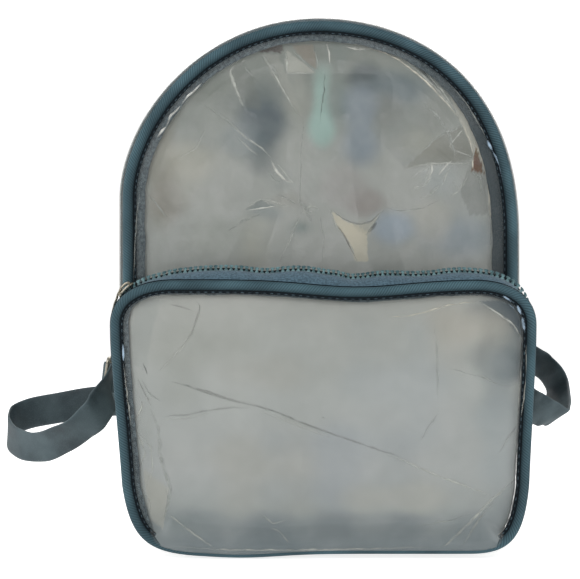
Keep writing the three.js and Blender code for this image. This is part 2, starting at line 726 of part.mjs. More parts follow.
// A flat metal slider with three bars
function strapSlider(strap) {
  const halfSpan = strapWidth / 2 + sliderPlay + sliderWireWidth;
  const halfLength = sliderStep + sliderWireWidth / 2;
  const corner = sliderWireWidth * 0.8;
  const outer = new THREE.Shape();
  outer.moveTo(-halfSpan + corner, -halfLength);
  outer.lineTo(halfSpan - corner, -halfLength);
  outer.quadraticCurveTo(halfSpan, -halfLength, halfSpan, -halfLength + corner);
  outer.lineTo(halfSpan, halfLength - corner);
  outer.quadraticCurveTo(halfSpan, halfLength, halfSpan - corner, halfLength);
  outer.lineTo(-halfSpan + corner, halfLength);
  outer.quadraticCurveTo(-halfSpan, halfLength, -halfSpan, halfLength - corner);
  outer.lineTo(-halfSpan, -halfLength + corner);
  outer.quadraticCurveTo(-halfSpan, -halfLength, -halfSpan + corner, -halfLength);
  for (const side of [-1, 1]) {
    const near = side * (sliderWireWidth / 2);
    const far = side * (sliderWireWidth / 2 + sliderSlot);
    const across = halfSpan - sliderWireWidth;
    outer.holes.push(new THREE.Path([
      new THREE.Vector2(-across, near),
      new THREE.Vector2(across, near),
      new THREE.Vector2(across, far),
      new THREE.Vector2(-across, far),
    ]));
  }
  const geometry = new THREE.ExtrudeGeometry(outer, {
    depth: sliderThickness,
    bevelEnabled: false,
    curveSegments: 2,
  });
  geometry.translate(0, 0, -sliderThickness / 2);
  const frame = sliderFrame(strap);
  const facing = frame.across.clone().cross(frame.along);
  const basis = new THREE.Matrix4().makeBasis(frame.across, frame.along, facing);
  geometry.applyMatrix4(basis.setPosition(frame.place));
  return geometry;
}

// A rounded pad sewn flat on the back panel
function sewnPad(x, z, width, height) {
  const radius = Math.min(width, height) * 0.15;
  const shape = new THREE.Shape();
  shape.moveTo(-width / 2 + radius, -height / 2);
  shape.lineTo(width / 2 - radius, -height / 2);
  shape.quadraticCurveTo(width / 2, -height / 2, width / 2, -height / 2 + radius);
  shape.lineTo(width / 2, height / 2 - radius);
  shape.quadraticCurveTo(width / 2, height / 2, width / 2 - radius, height / 2);
  shape.lineTo(-width / 2 + radius, height / 2);
  shape.quadraticCurveTo(-width / 2, height / 2, -width / 2, height / 2 - radius);
  shape.lineTo(-width / 2, -height / 2 + radius);
  shape.quadraticCurveTo(-width / 2, -height / 2, -width / 2 + radius, -height / 2);
  const geometry = new THREE.ExtrudeGeometry(shape, {
    depth: padThickness,
    bevelEnabled: false,
    curveSegments: 3,
  });
  geometry.rotateX(Math.PI / 2);
  geometry.translate(x, padOuterY, z);
  return geometry;
}

const bodyZipRange = bodyOutline.sharesAtHeight(bodyZipEnd);
const bodyLowRange = [bodyZipRange[1], 1 + bodyZipRange[0]];
const pocketZipRange = pocketOutline.sharesAtHeight(pocketZipEnd);
const pocketLowRange = [pocketZipRange[1], 1 + pocketZipRange[0]];

// Leaves half a seam gap at each end of a range of an outline
function inside([from, to], outline) {
  const gap = seamGap / outline.total;
  return [from + gap, to - gap];
}

const bodyCentre = { x: 0, z: bodyHeight * 0.5 };
const pocketCentre = { x: 0, z: pocketLift + pocketHeight * 0.5 };
const bodyFront = () => bodyFrontY;
const bodyBack = () => bodyBackY;

const backpack = new THREE.Group();

function add(name, geometry, look) {
  const mesh = new THREE.Mesh(geometry, new THREE.MeshStandardMaterial(look));
  mesh.name = name;
  backpack.add(mesh);
}

// The ends of each zip part across a wall, in shares of the wall's span
function zipShares(span, frontWidth, tapeWidth) {
  const gap = seamGap / span;
  const widths = [frontWidth, tapeWidth, chainWidth, tapeWidth].filter((width) => width > 0);
  const parts = [];
  let from = 0;
  for (const width of widths) {
    parts.push([from, from + width / span - gap]);
    from += width / span;
  }
  parts.push([from, 1]);
  return parts;
}

function addBody() {
  const zip = inside(bodyZipRange, bodyOutline);
  const low = inside(bodyLowRange, bodyOutline);
  const [frontStrip, frontTape, chain, rearTape, rearStrip] = zipShares(
    wallSpan, bodyFrontStripWidth, bodyTapeWidth,
  );
  const arch = (shares, pieces, thickness) => (
    wallPiece(bodyOutline, bodyWall, zip, shares, pieces, archStations, thickness)
  );
  const chainMiddle = mix(chain[0], chain[1], 0.5);
  add('front_panel', panel(bodyOutline, pipingRadius, bodyFront, 0, [1], bodyCentre), vinyl);
  add('back_panel', panel(bodyOutline, pipingRadius, bodyBack, 0, [1], bodyCentre), vinyl);
  add('front_piping', piping(bodyOutline, pipingRadius, bodyFront), slateLeather);
  add('back_piping', piping(bodyOutline, pipingRadius, bodyBack), slateLeather);
  add('front_seam_binding', seamBinding(
    bodyOutline, pipingRadius, bodyFront, bindingWidth,
  ), slateTape);
  add('zip_front_strip', arch(frontStrip, 2, sheetThickness), vinyl);
  add('zip_front_tape', arch(frontTape, 1, tapeThickness), slateTape);
  add('zip_chain', zipChain(bodyOutline, bodyWall, zip, chain), slateTeeth);
  add('zip_rear_tape', arch(rearTape, 1, tapeThickness), slateTape);
  add('zip_rear_strip', arch(rearStrip, 3, sheetThickness), vinyl);
  add('zip_slider', zipSlider(
    bodyOutline, bodyWall, zip[0] + bodySliderPlace / bodyOutline.total, chainMiddle, -1,
  ), nickel);
  add('base_gusset', wallPiece(
    bodyOutline, bodyWall, low, [0, 1], 5, gussetStations, sheetThickness,
  ), vinyl);
  add('body_film', filmCup(bodyOutline, bodyFront, {
    faceInset: bodyFilmFaceInset,
    wallInset: bodyFilmWallInset,
    depth: bodyFilmDepth,
    bulge: 0,
  }, bodyCentre), film);
}

function addPocket() {
  const zip = inside(pocketZipRange, pocketOutline);
  const low = inside(pocketLowRange, pocketOutline);
  const [frontTape, chain, rearTape, rearStrip] = zipShares(pocketWallSpan, 0, pocketTapeWidth);
  const arch = (shares, pieces, thickness) => (
    wallPiece(pocketOutline, pocketWall, zip, shares, pieces, archStations, thickness)
  );
  const chainMiddle = mix(chain[0], chain[1], 0.5);
  add('pocket_panel', panel(
    pocketOutline, pocketPipingRadius, pocketFrontY, pocketPanelBulge, [0.45, 0.8, 1], pocketCentre,
  ), vinyl);
  add('pocket_piping', piping(pocketOutline, pocketPipingRadius, pocketFrontY), slateLeather);
  add('pocket_seam_binding', seamBinding(
    pocketOutline, pocketPipingRadius, pocketFrontY, pocketBindingWidth,
  ), slateTape);
  add('pocket_front_tape', arch(frontTape, 2, tapeThickness), slateTape);
  add('pocket_zip_chain', zipChain(pocketOutline, pocketWall, zip, chain, toothPitch), slateTeeth);
  add('pocket_rear_tape', arch(rearTape, 2, tapeThickness), slateTape);
  add('pocket_rear_strip', arch(rearStrip, 1, sheetThickness), vinyl);
  add('pocket_zip_slider', zipSlider(
    pocketOutline, pocketWall, zip[1] - pocketSliderPlace / pocketOutline.total, chainMiddle, 1,
  ), nickel);
  add('pocket_gusset', wallPiece(
    pocketOutline, pocketWall, low, [0, 1], 3, gussetStations, sheetThickness,
  ), vinyl);
  add('pocket_film', filmCup(pocketOutline, pocketFrontY, {
    faceInset: pocketFilmFaceInset,
    wallInset: pocketFilmWallInset,
    depth: pocketFilmDepth,
    bulge: pocketFilmBulge,
  }, pocketCentre), film);
}

function addStraps() {
  add('yoke', sewnPad(0, yokeTop - yokeHeight / 2, yokeWidth, yokeHeight), slateStrap);
  for (const strap of straps) {
    const { name, side, anchorZ } = strap;
    add(`upper_strap_${name}`, upperStrap(strap).geometry(strapWidth, strapThickness), slateStrap);
    add(`lower_strap_${name}`, lowerStrap(strap).geometry(strapWidth, strapThickness), slateStrap);
    add(`strap_slider_${name}`, strapSlider(strap), nickel);
    add(`strap_anchor_${name}`, sewnPad(side * anchorX, anchorZ, anchorWidth, anchorHeight), slateStrap);
  }
}

addBody();
addPocket();
addStraps();

export default backpack;
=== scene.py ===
import math
import random
import bpy
import numpy as np
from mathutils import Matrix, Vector, kdtree, noise


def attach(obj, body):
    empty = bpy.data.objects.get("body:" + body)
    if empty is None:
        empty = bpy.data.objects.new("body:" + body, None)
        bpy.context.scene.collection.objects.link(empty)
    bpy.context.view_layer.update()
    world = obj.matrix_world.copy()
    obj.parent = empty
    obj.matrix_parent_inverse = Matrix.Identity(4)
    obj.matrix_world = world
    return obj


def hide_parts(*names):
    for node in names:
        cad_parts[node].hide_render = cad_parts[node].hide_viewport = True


# Clear stadium backpack, dressed. Lengths in the dictionaries are millimetres, in the frame's own axes.
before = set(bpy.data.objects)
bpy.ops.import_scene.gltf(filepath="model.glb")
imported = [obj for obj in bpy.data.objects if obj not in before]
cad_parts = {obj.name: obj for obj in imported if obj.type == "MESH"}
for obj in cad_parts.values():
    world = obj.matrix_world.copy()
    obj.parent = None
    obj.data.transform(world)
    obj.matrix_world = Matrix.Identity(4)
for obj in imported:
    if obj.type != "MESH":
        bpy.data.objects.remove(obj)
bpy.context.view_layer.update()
print("frame loaded")

scene = bpy.context.scene
scene.view_settings.view_transform = "Standard"
scene.cycles.transparent_max_bounces = 32


# camera
camera = {"middle": 290, "place": (-18.6, -755, 150), "lens": 75.85, "focalPixels": 1222}

cameraData = bpy.data.cameras.new("camera")
cameraData.sensor_width = 36
cameraData.lens = camera["lens"]
cameraData.clip_start = 0.01
cameraObject = bpy.data.objects.new("camera", cameraData)
cameraObject.location = [v / 1000 for v in camera["place"]]
cameraObject.rotation_euler = (math.pi / 2, 0, 0)
scene.collection.objects.link(cameraObject)
scene.camera = cameraObject


def fromPhoto(px, py, planeY):  # the point of a plane across the view that a pixel of the photograph shows
    scale = camera["focalPixels"] / (planeY - camera["place"][1])
    right, down = (px - camera["middle"]) / scale, (py - camera["middle"]) / scale
    return camera["place"][0] + right, camera["place"][2] - down


# materials
class Shade:  # a node's socket, used in expressions
    def __init__(self, tree, socket=None):
        self.tree = tree
        self.socket = socket

    def make(self, kind, settings=None, inputs=None, output=0):
        node = self.tree.nodes.new("ShaderNode" + kind)
        for key, value in (settings or {}).items():
            if key == "stops":
                ramp = node.color_ramp.elements
                while len(ramp) < len(value):
                    ramp.new(1)
                for stop, (position, shade) in zip(ramp, value):
                    stop.position = position
                    stop.color = (*shade, 1) if hasattr(shade, "__len__") else (shade, shade, shade, 1)
            else:
                setattr(node, key, value)
        for key, value in (inputs or {}).items():
            if isinstance(value, Shade):
                self.tree.links.new(value.socket, node.inputs[key])
            else:
                node.inputs[key].default_value = value
        return Shade(self.tree, node.outputs[output])

    def math(self, operation, *others):
        return self.make("Math", {"operation": operation}, dict(enumerate([self, *others])))

    def __add__(self, other):
        return self.math("ADD", other)

    def __sub__(self, other):
        return self.math("SUBTRACT", other)

    def __rsub__(self, other):
        return self.make("Math", {"operation": "SUBTRACT"}, {0: other, 1: self})

    def __mul__(self, other):
        return self.math("MULTIPLY", other)

    def __truediv__(self, other):
        return self.math("DIVIDE", other)

    def __pow__(self, other):
        return self.math("POWER", other)

    __radd__ = __add__
    __rmul__ = __mul__

    def ranged(self, low, high, toLow=0, toHigh=1):
        return self.make("MapRange", {"interpolation_type": "SMOOTHSTEP"}, {
            "Value": self, "From Min": low, "From Max": high, "To Min": toLow, "To Max": toHigh,
        })

    def blend(self, first, second):  # this value mixes two colours
        colours = [(*c, 1) if isinstance(c, tuple) else c for c in (first, second)]
        return self.make("Mix", {"data_type": "RGBA"}, {0: self, 6: colours[0], 7: colours[1]}, 2)

    def part(self, axis):
        return self.make("SeparateXYZ", None, {0: self}, axis)

    def scaled(self, x, y, z):
        return self.make("VectorMath", {"operation": "MULTIPLY"}, {0: self, 1: (x, y, z)})

    def noise(self, scale, detail=2, roughness=0.5, distortion=0):
        return self.make("TexNoise", None, {
            "Vector": self, "Scale": scale, "Detail": detail, "Roughness": roughness,
            "Distortion": distortion,
        })

    def bump(self, strength, distance, normal=None):
        inputs = {"Height": self, "Strength": strength, "Distance": distance}
        if normal:
            inputs["Normal"] = normal
        return self.make("Bump", None, inputs)


def srgb(red, green, blue):  # a colour as it is seen, from 0 to 255
    shares = [c / 255 for c in (red, green, blue)]
    return tuple(s / 12.92 if s <= 0.04045 else ((s + 0.055) / 1.055) ** 2.4 for s in shares)


def startMaterial(name):
    material = bpy.data.materials.new(name)
    material.use_nodes = True
    tree = material.node_tree
    tree.nodes.remove(tree.nodes["Principled BSDF"])
    return material, Shade(tree)


def finishMaterial(material, start, inputs):
    surface = start.make("BsdfPrincipled", None, inputs)
    start.tree.links.new(surface.socket, start.tree.nodes["Material Output"].inputs["Surface"])
    return material


def lay(start):  # the way along and across a strip, in metres
    return start.make("Attribute", {"attribute_name": "lay"}, None, "Vector")


def place(start):
    return start.make("TexCoord", None, None, "Object")


def twillMaterial(name, finish):  # coated cord piping with a fine slanted grain, with painted shade darkening it towards its seam
    material, start = startMaterial(name)
    position = lay(start)
    slant = (position.part(0) + position.part(1) * finish["slant"]) * (2 * math.pi / finish["pitch"])
    ribs = slant.math("SINE") * 0.5 + 0.5
    cells = start.make("TexVoronoi", None, {"Vector": position, "Scale": finish["cells"]}, "Distance")
    worn = place(start).noise(28, 2).ranged(0.36, 0.62, 0.6, 1)
    weave = (ribs * 0.8 + cells * 0.4).math("MINIMUM", 1)
    clouds = place(start).noise(45, 3).ranged(0.3, 0.7, 0.02, 0.2)
    light = weave * worn * finish["contrast"] + clouds
    # painted shade: the side of the cord towards the seam blends into the dark seam colour
    inner = ((position.part(2) - 0.5).math("ABSOLUTE") * 2).ranged(0.3, 1)
    colour = (inner * finish["seamShadeShare"]).blend(light.blend(finish["dark"], finish["light"]), finish["seam"])
    return finishMaterial(material, start, {
        "Base Color": colour,
        "Roughness": ribs.ranged(0, 1, finish["roughness"] + 0.12, finish["roughness"] - 0.06),
        "Normal": weave.bump(0.5, 0.0003),
        "Specular IOR Level": 0.3,
    })


def wovenMaterial(name, finish):  # zip tape and seam binding
    material, start = startMaterial(name)
    position = lay(start)
    warp = (position.part(1) * (2 * math.pi / finish["warp"])).math("SINE")
    weft = (position.part(0) * (2 * math.pi / finish["weft"])).math("SINE")
    threads = (warp * weft) * 0.5 + 0.5
    fuzz = place(start).noise(finish["fuzz"], 4, 0.7)
    # painted shade: the weave is darkened towards the bag's right side
    side = place(start).part(0).ranged(0.03, 0.11, 1, finish["rightShade"])
    light = (threads * 0.45 + fuzz.ranged(0.35, 0.68, -0.1, 0.75)) * side
    return finishMaterial(material, start, {
        "Base Color": light.blend(finish["dark"], finish["light"]),
        "Roughness": 0.85,
        "Normal": (threads + fuzz).bump(0.6, 0.00035),
        "Sheen Weight": 0.25,
        "Sheen Roughness": 0.5,
    })


def vinylMaterial(name, finish):  # clear sheet, with soft ripples that catch the light
    material, start = startMaterial(name)
    ripples = place(start).noise(finish["ripples"], 2, 0.45, 0.6)
    fine = place(start).noise(210, 2, 0.5)
    facing = start.make("LayerWeight", None, {"Blend": 0.35}, "Facing")
    # towards grazing view the sheet grows more opaque, partly its haze and partly a painted reflection shown
    # by its pale base colour
    haze = facing.ranged(0.2, 1, finish["alpha"], finish["rimAlpha"])
    return finishMaterial(material, start, {
        "Base Color": ripples.ranged(0.3, 0.7).blend(finish["dark"], finish["light"]),
        "Roughness": fine.ranged(0.3, 0.7, finish["roughness"], finish["roughness"] + 0.08),
        "Alpha": haze,
        "Normal": (ripples + fine * 0.05).bump(0.5, finish["depth"]),
        "Specular IOR Level": 0.9,
        "Coat Weight": 0.6,
        "Coat Roughness": 0.04,
    })


def filmMaterial(name, finish):  # hazy loose film, tinted partly by what shows through it and partly by painted light: shade and light on its flats, a painted reflection, a painted highlight along its rim and painted shade on its turned-back wall
    material, start = startMaterial(name)
    tint = start.make("Attribute", {"attribute_name": "tint"}, None, "Color")
    clouds = place(start).noise(finish["clouds"], 3, 0.55, 1.2)
    position = place(start).scaled(1, 1, 0.6)
    facets = start.make(
        "TexVoronoi", {"feature": "F1"}, {"Vector": position, "Scale": finish["facets"]}, "Distance",
    )
    fine = place(start).noise(120, 3, 0.55)
    mottle = clouds.ranged(0.32, 0.7, 0, finish["mottle"]) + fine.ranged(0.4, 0.7, 0, finish["mottle"] * 0.4)
    return finishMaterial(material, start, {
        "Base Color": mottle.blend(tint, finish["haze"]),
        "Roughness": clouds.ranged(0.3, 0.7, 0.3, 0.48),
        "Alpha": fine.ranged(0.3, 0.7, finish["alpha"], 1),
        "Normal": (clouds + facets * finish["facetDepth"]).bump(0.3, 0.003),
        "Specular IOR Level": finish["gloss"],
    })


def foldMaterial(name, roughness):  # painted highlights and shade along creases and glint lines, fading out at their ends
    material, start = startMaterial(name)
    tint = start.make("Attribute", {"attribute_name": "tint"}, None, "Color")
    strength = start.make("Attribute", {"attribute_name": "strength"}, None, "Fac")
    broken = place(start).noise(170, 2, 0.5).ranged(0.3, 0.6, 0.55, 1)
    return finishMaterial(material, start, {
        "Base Color": tint,
        "Roughness": broken.ranged(0, 1, roughness + 0.15, roughness),
        "Alpha": strength * broken,
        "Specular IOR Level": 0.5,
    })


def strapMaterial(name, finish):  # smooth strap with a very fine grain and lighter narrow edges
    material, start = startMaterial(name)
    grain = start.make("TexVoronoi", None, {"Vector": place(start), "Scale": 1400}, "Distance")
    clouds = place(start).noise(30, 3, 0.6)
    worn = ((lay(start).part(2) - 0.4375) * (4 * math.pi)).math("COSINE").ranged(0.8, 0.98)
    light = grain * 0.25 + clouds.ranged(0.3, 0.7, 0, 0.6) + worn * 0.45
    return finishMaterial(material, start, {
        "Base Color": light.blend(finish["dark"], finish["light"]),
        "Roughness": clouds.ranged(0.3, 0.7, 0.5, 0.62),
        "Normal": grain.bump(0.3, 0.0001),
        "Specular IOR Level": 0.4,
    })


def plainMaterial(name, finish):  # moulded or metal parts, with light wear
    material, start = startMaterial(name)
    wear = place(start).noise(260, 4, 0.65)
    brushed = place(start).scaled(1, 1, 6).noise(900, 2, 0.5)
    light = wear.ranged(0.35, 0.7)
    return finishMaterial(material, start, {
        "Base Color": light.blend(finish["dark"], finish["light"]),
        "Roughness": wear.ranged(0.3, 0.7, finish["roughness"], finish["roughness"] + 0.14),
        "Metallic": finish["metallic"],
        "Normal": brushed.bump(0.15, 0.00008),
    })


materials = {
    "piping": twillMaterial("slatePiping", {
        "dark": srgb(28, 50, 58), "light": srgb(96, 132, 144), "seam": srgb(10, 26, 34), "seamShadeShare": 0.7,
        "pitch": 0.0016, "slant": -0.67, "cells": 1500, "contrast": 0.62, "roughness": 0.55,
    }),
    # near-black welt colour: painted shade for the seam lines, the join under the pocket zip and the gaps
    # between zip teeth
    "welt": twillMaterial("paintedShadeWelt", {
        "dark": srgb(2, 10, 16), "light": srgb(14, 32, 41), "seam": srgb(2, 9, 14), "seamShadeShare": 0.5,
        "pitch": 0.00135, "slant": -0.67, "cells": 1500, "contrast": 0.4, "roughness": 0.85,
    }),
    "tape": wovenMaterial("slateTape", {
        "dark": srgb(50, 78, 94), "light": srgb(102, 136, 154), "warp": 0.0009, "weft": 0.0007, "fuzz": 900,
        "rightShade": 1,
    }),
    "binding": wovenMaterial("slateBinding", {
        "dark": srgb(40, 52, 58), "light": srgb(102, 116, 121), "warp": 0.0012, "weft": 0.0009, "fuzz": 500,
        "rightShade": 0.1,
    }),
    "vinyl": vinylMaterial("clearVinyl", {
        "dark": srgb(170, 180, 180), "light": srgb(238, 240, 238), "ripples": 26, "depth": 0.0012,
        "alpha": 0.07, "rimAlpha": 0.7, "roughness": 0.07,
    }),
    "sideVinyl": vinylMaterial("clearSideVinyl", {
        "dark": srgb(226, 228, 218), "light": srgb(252, 250, 242), "ripples": 40, "depth": 0.0008,
        "alpha": 0.16, "rimAlpha": 0.97, "roughness": 0.1,
    }),
    "strap": strapMaterial("slateStrap", {"dark": srgb(38, 51, 57), "light": srgb(92, 109, 114)}),
    "teeth": plainMaterial("zipTeeth", {
        "dark": srgb(58, 90, 96), "light": srgb(126, 162, 167), "roughness": 0.36, "metallic": 0,
    }),
    "thread": plainMaterial("slateThread", {
        "dark": srgb(30, 46, 54), "light": srgb(84, 104, 114), "roughness": 0.7, "metallic": 0,
    }),
    "nickel": plainMaterial("warmNickel", {
        "dark": srgb(148, 142, 126), "light": srgb(206, 200, 186), "roughness": 0.26, "metallic": 1,
    }),
    "bodyFilm": filmMaterial("bodyFilm", {
        "clouds": 20, "facets": 40, "facetDepth": 0.35, "mottle": 0.12, "haze": srgb(176, 180, 174),
        "alpha": 0.95,
        "gloss": 0.5,
    }),
    "pocketFilm": filmMaterial("pocketFilm", {
        "clouds": 12, "facets": 22, "facetDepth": 0.12, "mottle": 0.1, "haze": srgb(190, 194, 190),
        "alpha": 0.96,
        "gloss": 0.5,
    }),
    "fold": foldMaterial("filmFoldHighlightShade", 0.3),
    "glint": foldMaterial("vinylGlint", 0.1),
}
print("materials made")


# shapes that the pieces share
def smoothStep(low, high, value):
    share = np.clip((value - low) / (high - low), 0, 1)
    return share * share * (3 - 2 * share)


def mix(low, high, share):
    return low + (high - low) * share


def addPiece(name, vertices, faces, material, replaced=(), across=None, paint=None):
    mesh = bpy.data.meshes.new(name)
    mesh.from_pydata((np.asarray(vertices) / 1000).tolist(), [], faces)
    mesh.polygons.foreach_set("use_smooth", [True] * len(mesh.polygons))
    if across is not None:
        layer = mesh.attributes.new("lay", "FLOAT_VECTOR", "CORNER")
        layer.data.foreach_set("vector", (np.asarray(across) / 1000).astype(np.float32).ravel())
    for key, values in (paint or {}).items():
        values = np.asarray(values, dtype=np.float32)
        if values.ndim == 1:
            mesh.attributes.new(key, "FLOAT", "POINT").data.foreach_set("value", values)
        else:
            values = np.concatenate([values, np.ones((len(values), 1), np.float32)], 1)
            mesh.attributes.new(key, "FLOAT_COLOR", "POINT").data.foreach_set("color", values.ravel())
    mesh.materials.append(materials[material])
    mesh.update()
    piece = bpy.data.objects.new(name, mesh)
    scene.collection.objects.link(piece)
    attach(piece, "root")
    if replaced:
        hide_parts(*replaced)
    return piece


def gridFaces(count, width, closeAlong, closeAcross):
    i, j = np.meshgrid(
        np.arange(count if closeAlong else count - 1),
        np.arange(width if closeAcross else width - 1),
        indexing="ij",
    )
    i, j = i.ravel(), j.ravel()
    corners = [(i, j), (i + 1, j), (i + 1, j + 1), (i, j + 1)]
    return corners, np.stack([(a % count) * width + b % width for a, b in corners], -1)


def gridPiece(name, rows, material, replaced=(), closeAlong=False, closeAcross=False, caps=False):
    count, width = rows.shape[:2]
    corners, faces = gridFaces(count, width, closeAlong, closeAcross)
    steps = np.linalg.norm(np.diff(rows[:, :1], axis=0), axis=-1)[:, 0]
    along = np.concatenate([[0], np.cumsum(steps), [np.sum(steps) + steps[-1]]])
    widths = np.linalg.norm(np.diff(rows[0], axis=0, append=rows[0][:1]), axis=-1)
    across = np.concatenate([[0], np.cumsum(widths)])
    laid = np.stack([np.stack([along[a], across[b], 1000 * b / width], -1) for a, b in corners], 1)
    laid = laid.reshape(-1, 3)
    faceList = faces.tolist()
    if caps:
        faceList += [list(range(width)), list(range((count - 1) * width, count * width))[::-1]]
        laid = np.vstack([laid, np.zeros((2 * width, 3))])
    return addPiece(name, rows.reshape(-1, 3), faceList, material, replaced, laid)


def tubeAlong(points, radius, sides, closed=False, flat=1):  # rows of a round cord along points
    points = np.asarray(points, float)
    if closed:
        ahead = np.roll(points, -1, 0) - np.roll(points, 1, 0)
    else:
        ahead = np.gradient(points, axis=0)
    ahead /= np.linalg.norm(ahead, axis=1, keepdims=True)
    side = np.zeros_like(points)
    first = np.cross(ahead[0], (0, 1, 0.02))
    side[0] = first / np.linalg.norm(first)
    for k in range(1, len(points)):
        turned = side[k - 1] - ahead[k] * np.dot(side[k - 1], ahead[k])
        side[k] = turned / np.linalg.norm(turned)
    up = np.cross(ahead, side)
    angles = np.arange(sides) * 2 * math.pi / sides
    ring = side[:, None] * np.cos(angles)[None, :, None] + up[:, None] * np.sin(angles)[None, :, None] * flat
    return points[:, None] + ring * np.reshape(radius, (-1, 1, 1))


class Gathered:  # many small solids kept as one mesh
    def __init__(self):
        self.vertices = []
        self.faces = []

    def add(self, vertices, faces):
        start = len(self.vertices)
        self.vertices += [tuple(v) for v in vertices]
        self.faces += [tuple(start + k for k in face) for face in faces]

    def addRows(self, rows, closeAcross=True, caps=True):
        count, width = rows.shape[:2]
        faces = gridFaces(count, width, False, closeAcross)[1].tolist()
        if caps:
            faces += [list(range(width)), list(range((count - 1) * width, count * width))[::-1]]
        self.add(rows.reshape(-1, 3), faces)

    def piece(self, name, material, slot, replaced=(), paint=None):
        return addPiece(name, np.array(self.vertices), self.faces, material, replaced, None, paint)


# the bag's outlines
body = {
    "width": 232, "height": 308, "depth": 80, "domeLeft": 104, "domeRight": 126.5, "shoulderLeft": 0.4,
    "shoulderRight": 0.8, "crownLeft": 0.63, "crownRight": 0.4, "cornerWidth": 38, "cornerHeight": 44,
    "taper": 3, "lean": -1, "bulgeTop": 4.2, "bulgeLeft": 3.6, "bulgeRight": 3.4, "skew": 0.45, "piping": 3.2,
    "frontStrip": 11, "tape": 9, "zipEnd": 108,
}
pocket = {
    "width": 238, "height": 153, "lift": 2.2, "depthTop": 36, "depthBase": 35, "cornerRight": 33,
    "cornerLeft": 42.5, "cornerHeight": 38.5, "topCornerWidth": 36, "topCornerHeight": 25, "taperRight": 3.9,
    "taperLeft": 6.5, "dip": 4, "dipAt": 0.16, "dipSpread": 0.32, "sag": 2.1, "sagAt": -0.387,
    "sagSpread": 0.25, "sagHeight": 25, "bulge": 8, "sideCrest": -1.2,
    "crest": [  # along the top, and how far the zip stands over the piping
        (-104, 2.8), (-92, 3.4), (-82, 5.2), (-69, 6.6), (-55, 7.2), (-46, 6.9), (-40, 6.2), (-34, 5.9),
        (-29, 6.3), (-22.6, 7.6), (-16.5, 8.5), (-9.5, 8.9), (0.8, 8.1), (8, 7.7), (15.7, 6), (22.5, 6.4),
        (29.4, 7.2), (36, 7.4), (44, 6.6), (53, 5.4), (62.5, 5.1), (70.5, 5.9), (79, 6.1), (88, 5.5),
        (97, 5.3), (107, 5.6),
    ],
    "seamInset": 5, "piping": 2.8, "tape": 10, "zipEnd": 104,
}
trim = {"gap": 0.3, "sheet": 1, "chain": 5, "pitch": 2.9}
bodyFront = -(body["depth"] / 2 - body["piping"])
bodyBack = -bodyFront


def curveThrough(points):  # one curved or straight part of an outline, finely
    share = np.linspace(0, 1, 400)[:, None]
    points = [np.array(p, float) for p in points]
    if len(points) == 2:
        return points[0] + (points[1] - points[0]) * share
    a, b, c, d = points
    start = a * (1 - share) ** 3 + 3 * b * share * (1 - share) ** 2
    return start + 3 * c * share ** 2 * (1 - share) + d * share ** 3


def evenly(parts, count=720):
    line = np.vstack([parts[0], *[p[1:] for p in parts[1:]]])
    length = np.concatenate([[0], np.cumsum(np.linalg.norm(np.diff(line, axis=0), axis=1))])
    at = np.linspace(0, length[-1], count)
    return np.stack([np.interp(at, length, line[:, k]) for k in (0, 1)], -1)


class Outline:  # closed, from the middle of the base up the right side and over the top
    def __init__(self, right, left):
        self.points = np.vstack([right, (left * [-1, 1])[1:-1][::-1], right[:1]])
        self.lengths = np.concatenate([[0], np.cumsum(np.linalg.norm(np.diff(self.points, axis=0), axis=1))])
        self.total = self.lengths[-1]

    def at(self, share):
        length = (np.asarray(share) % 1) * self.total
        return np.stack([np.interp(length, self.lengths, self.points[:, k]) for k in (0, 1)], -1)

    def frames(self, share):
        step = 2 / self.total
        ahead = self.at(share + step) - self.at(share - step)
        ahead /= np.linalg.norm(ahead, axis=-1, keepdims=True)
        return self.at(share), np.stack([ahead[..., 1], -ahead[..., 0]], -1)

    def sharesAt(self, height):
        share = np.arange(1440) / 1440
        above = share[self.at(share)[:, 1] >= height]
        return above[0], above[-1]


def bodyHalf(side, dome, shoulder, crown):
    half = body["width"] / 2
    low = half - body["taper"]
    base = body["height"] - dome
    corner, rise = body["cornerWidth"], body["cornerHeight"]
    middle = mix(rise, base, 0.5)
    points = evenly([
        curveThrough([(0, 0), (low - corner, 0)]),
        curveThrough([
            (low - corner, 0), (low - corner * 0.36, 0), (low - body["taper"] * 0.6, rise * 0.3),
            (low, rise),
        ]),
        curveThrough([
            (low, rise), (mix(low, half, 0.45), mix(rise, middle, 0.35)), (half, mix(rise, middle, 0.6)),
            (half, middle),
        ]),
        curveThrough([(half, middle), (half, base)]),
        curveThrough([
            (half, base), (half, base + dome * shoulder), (half * crown, body["height"]),
            (0, body["height"]),
        ]),
    ])
    points[:, 0] += side * body["lean"] * smoothStep(rise, body["height"] / 2, points[:, 1])
    return points


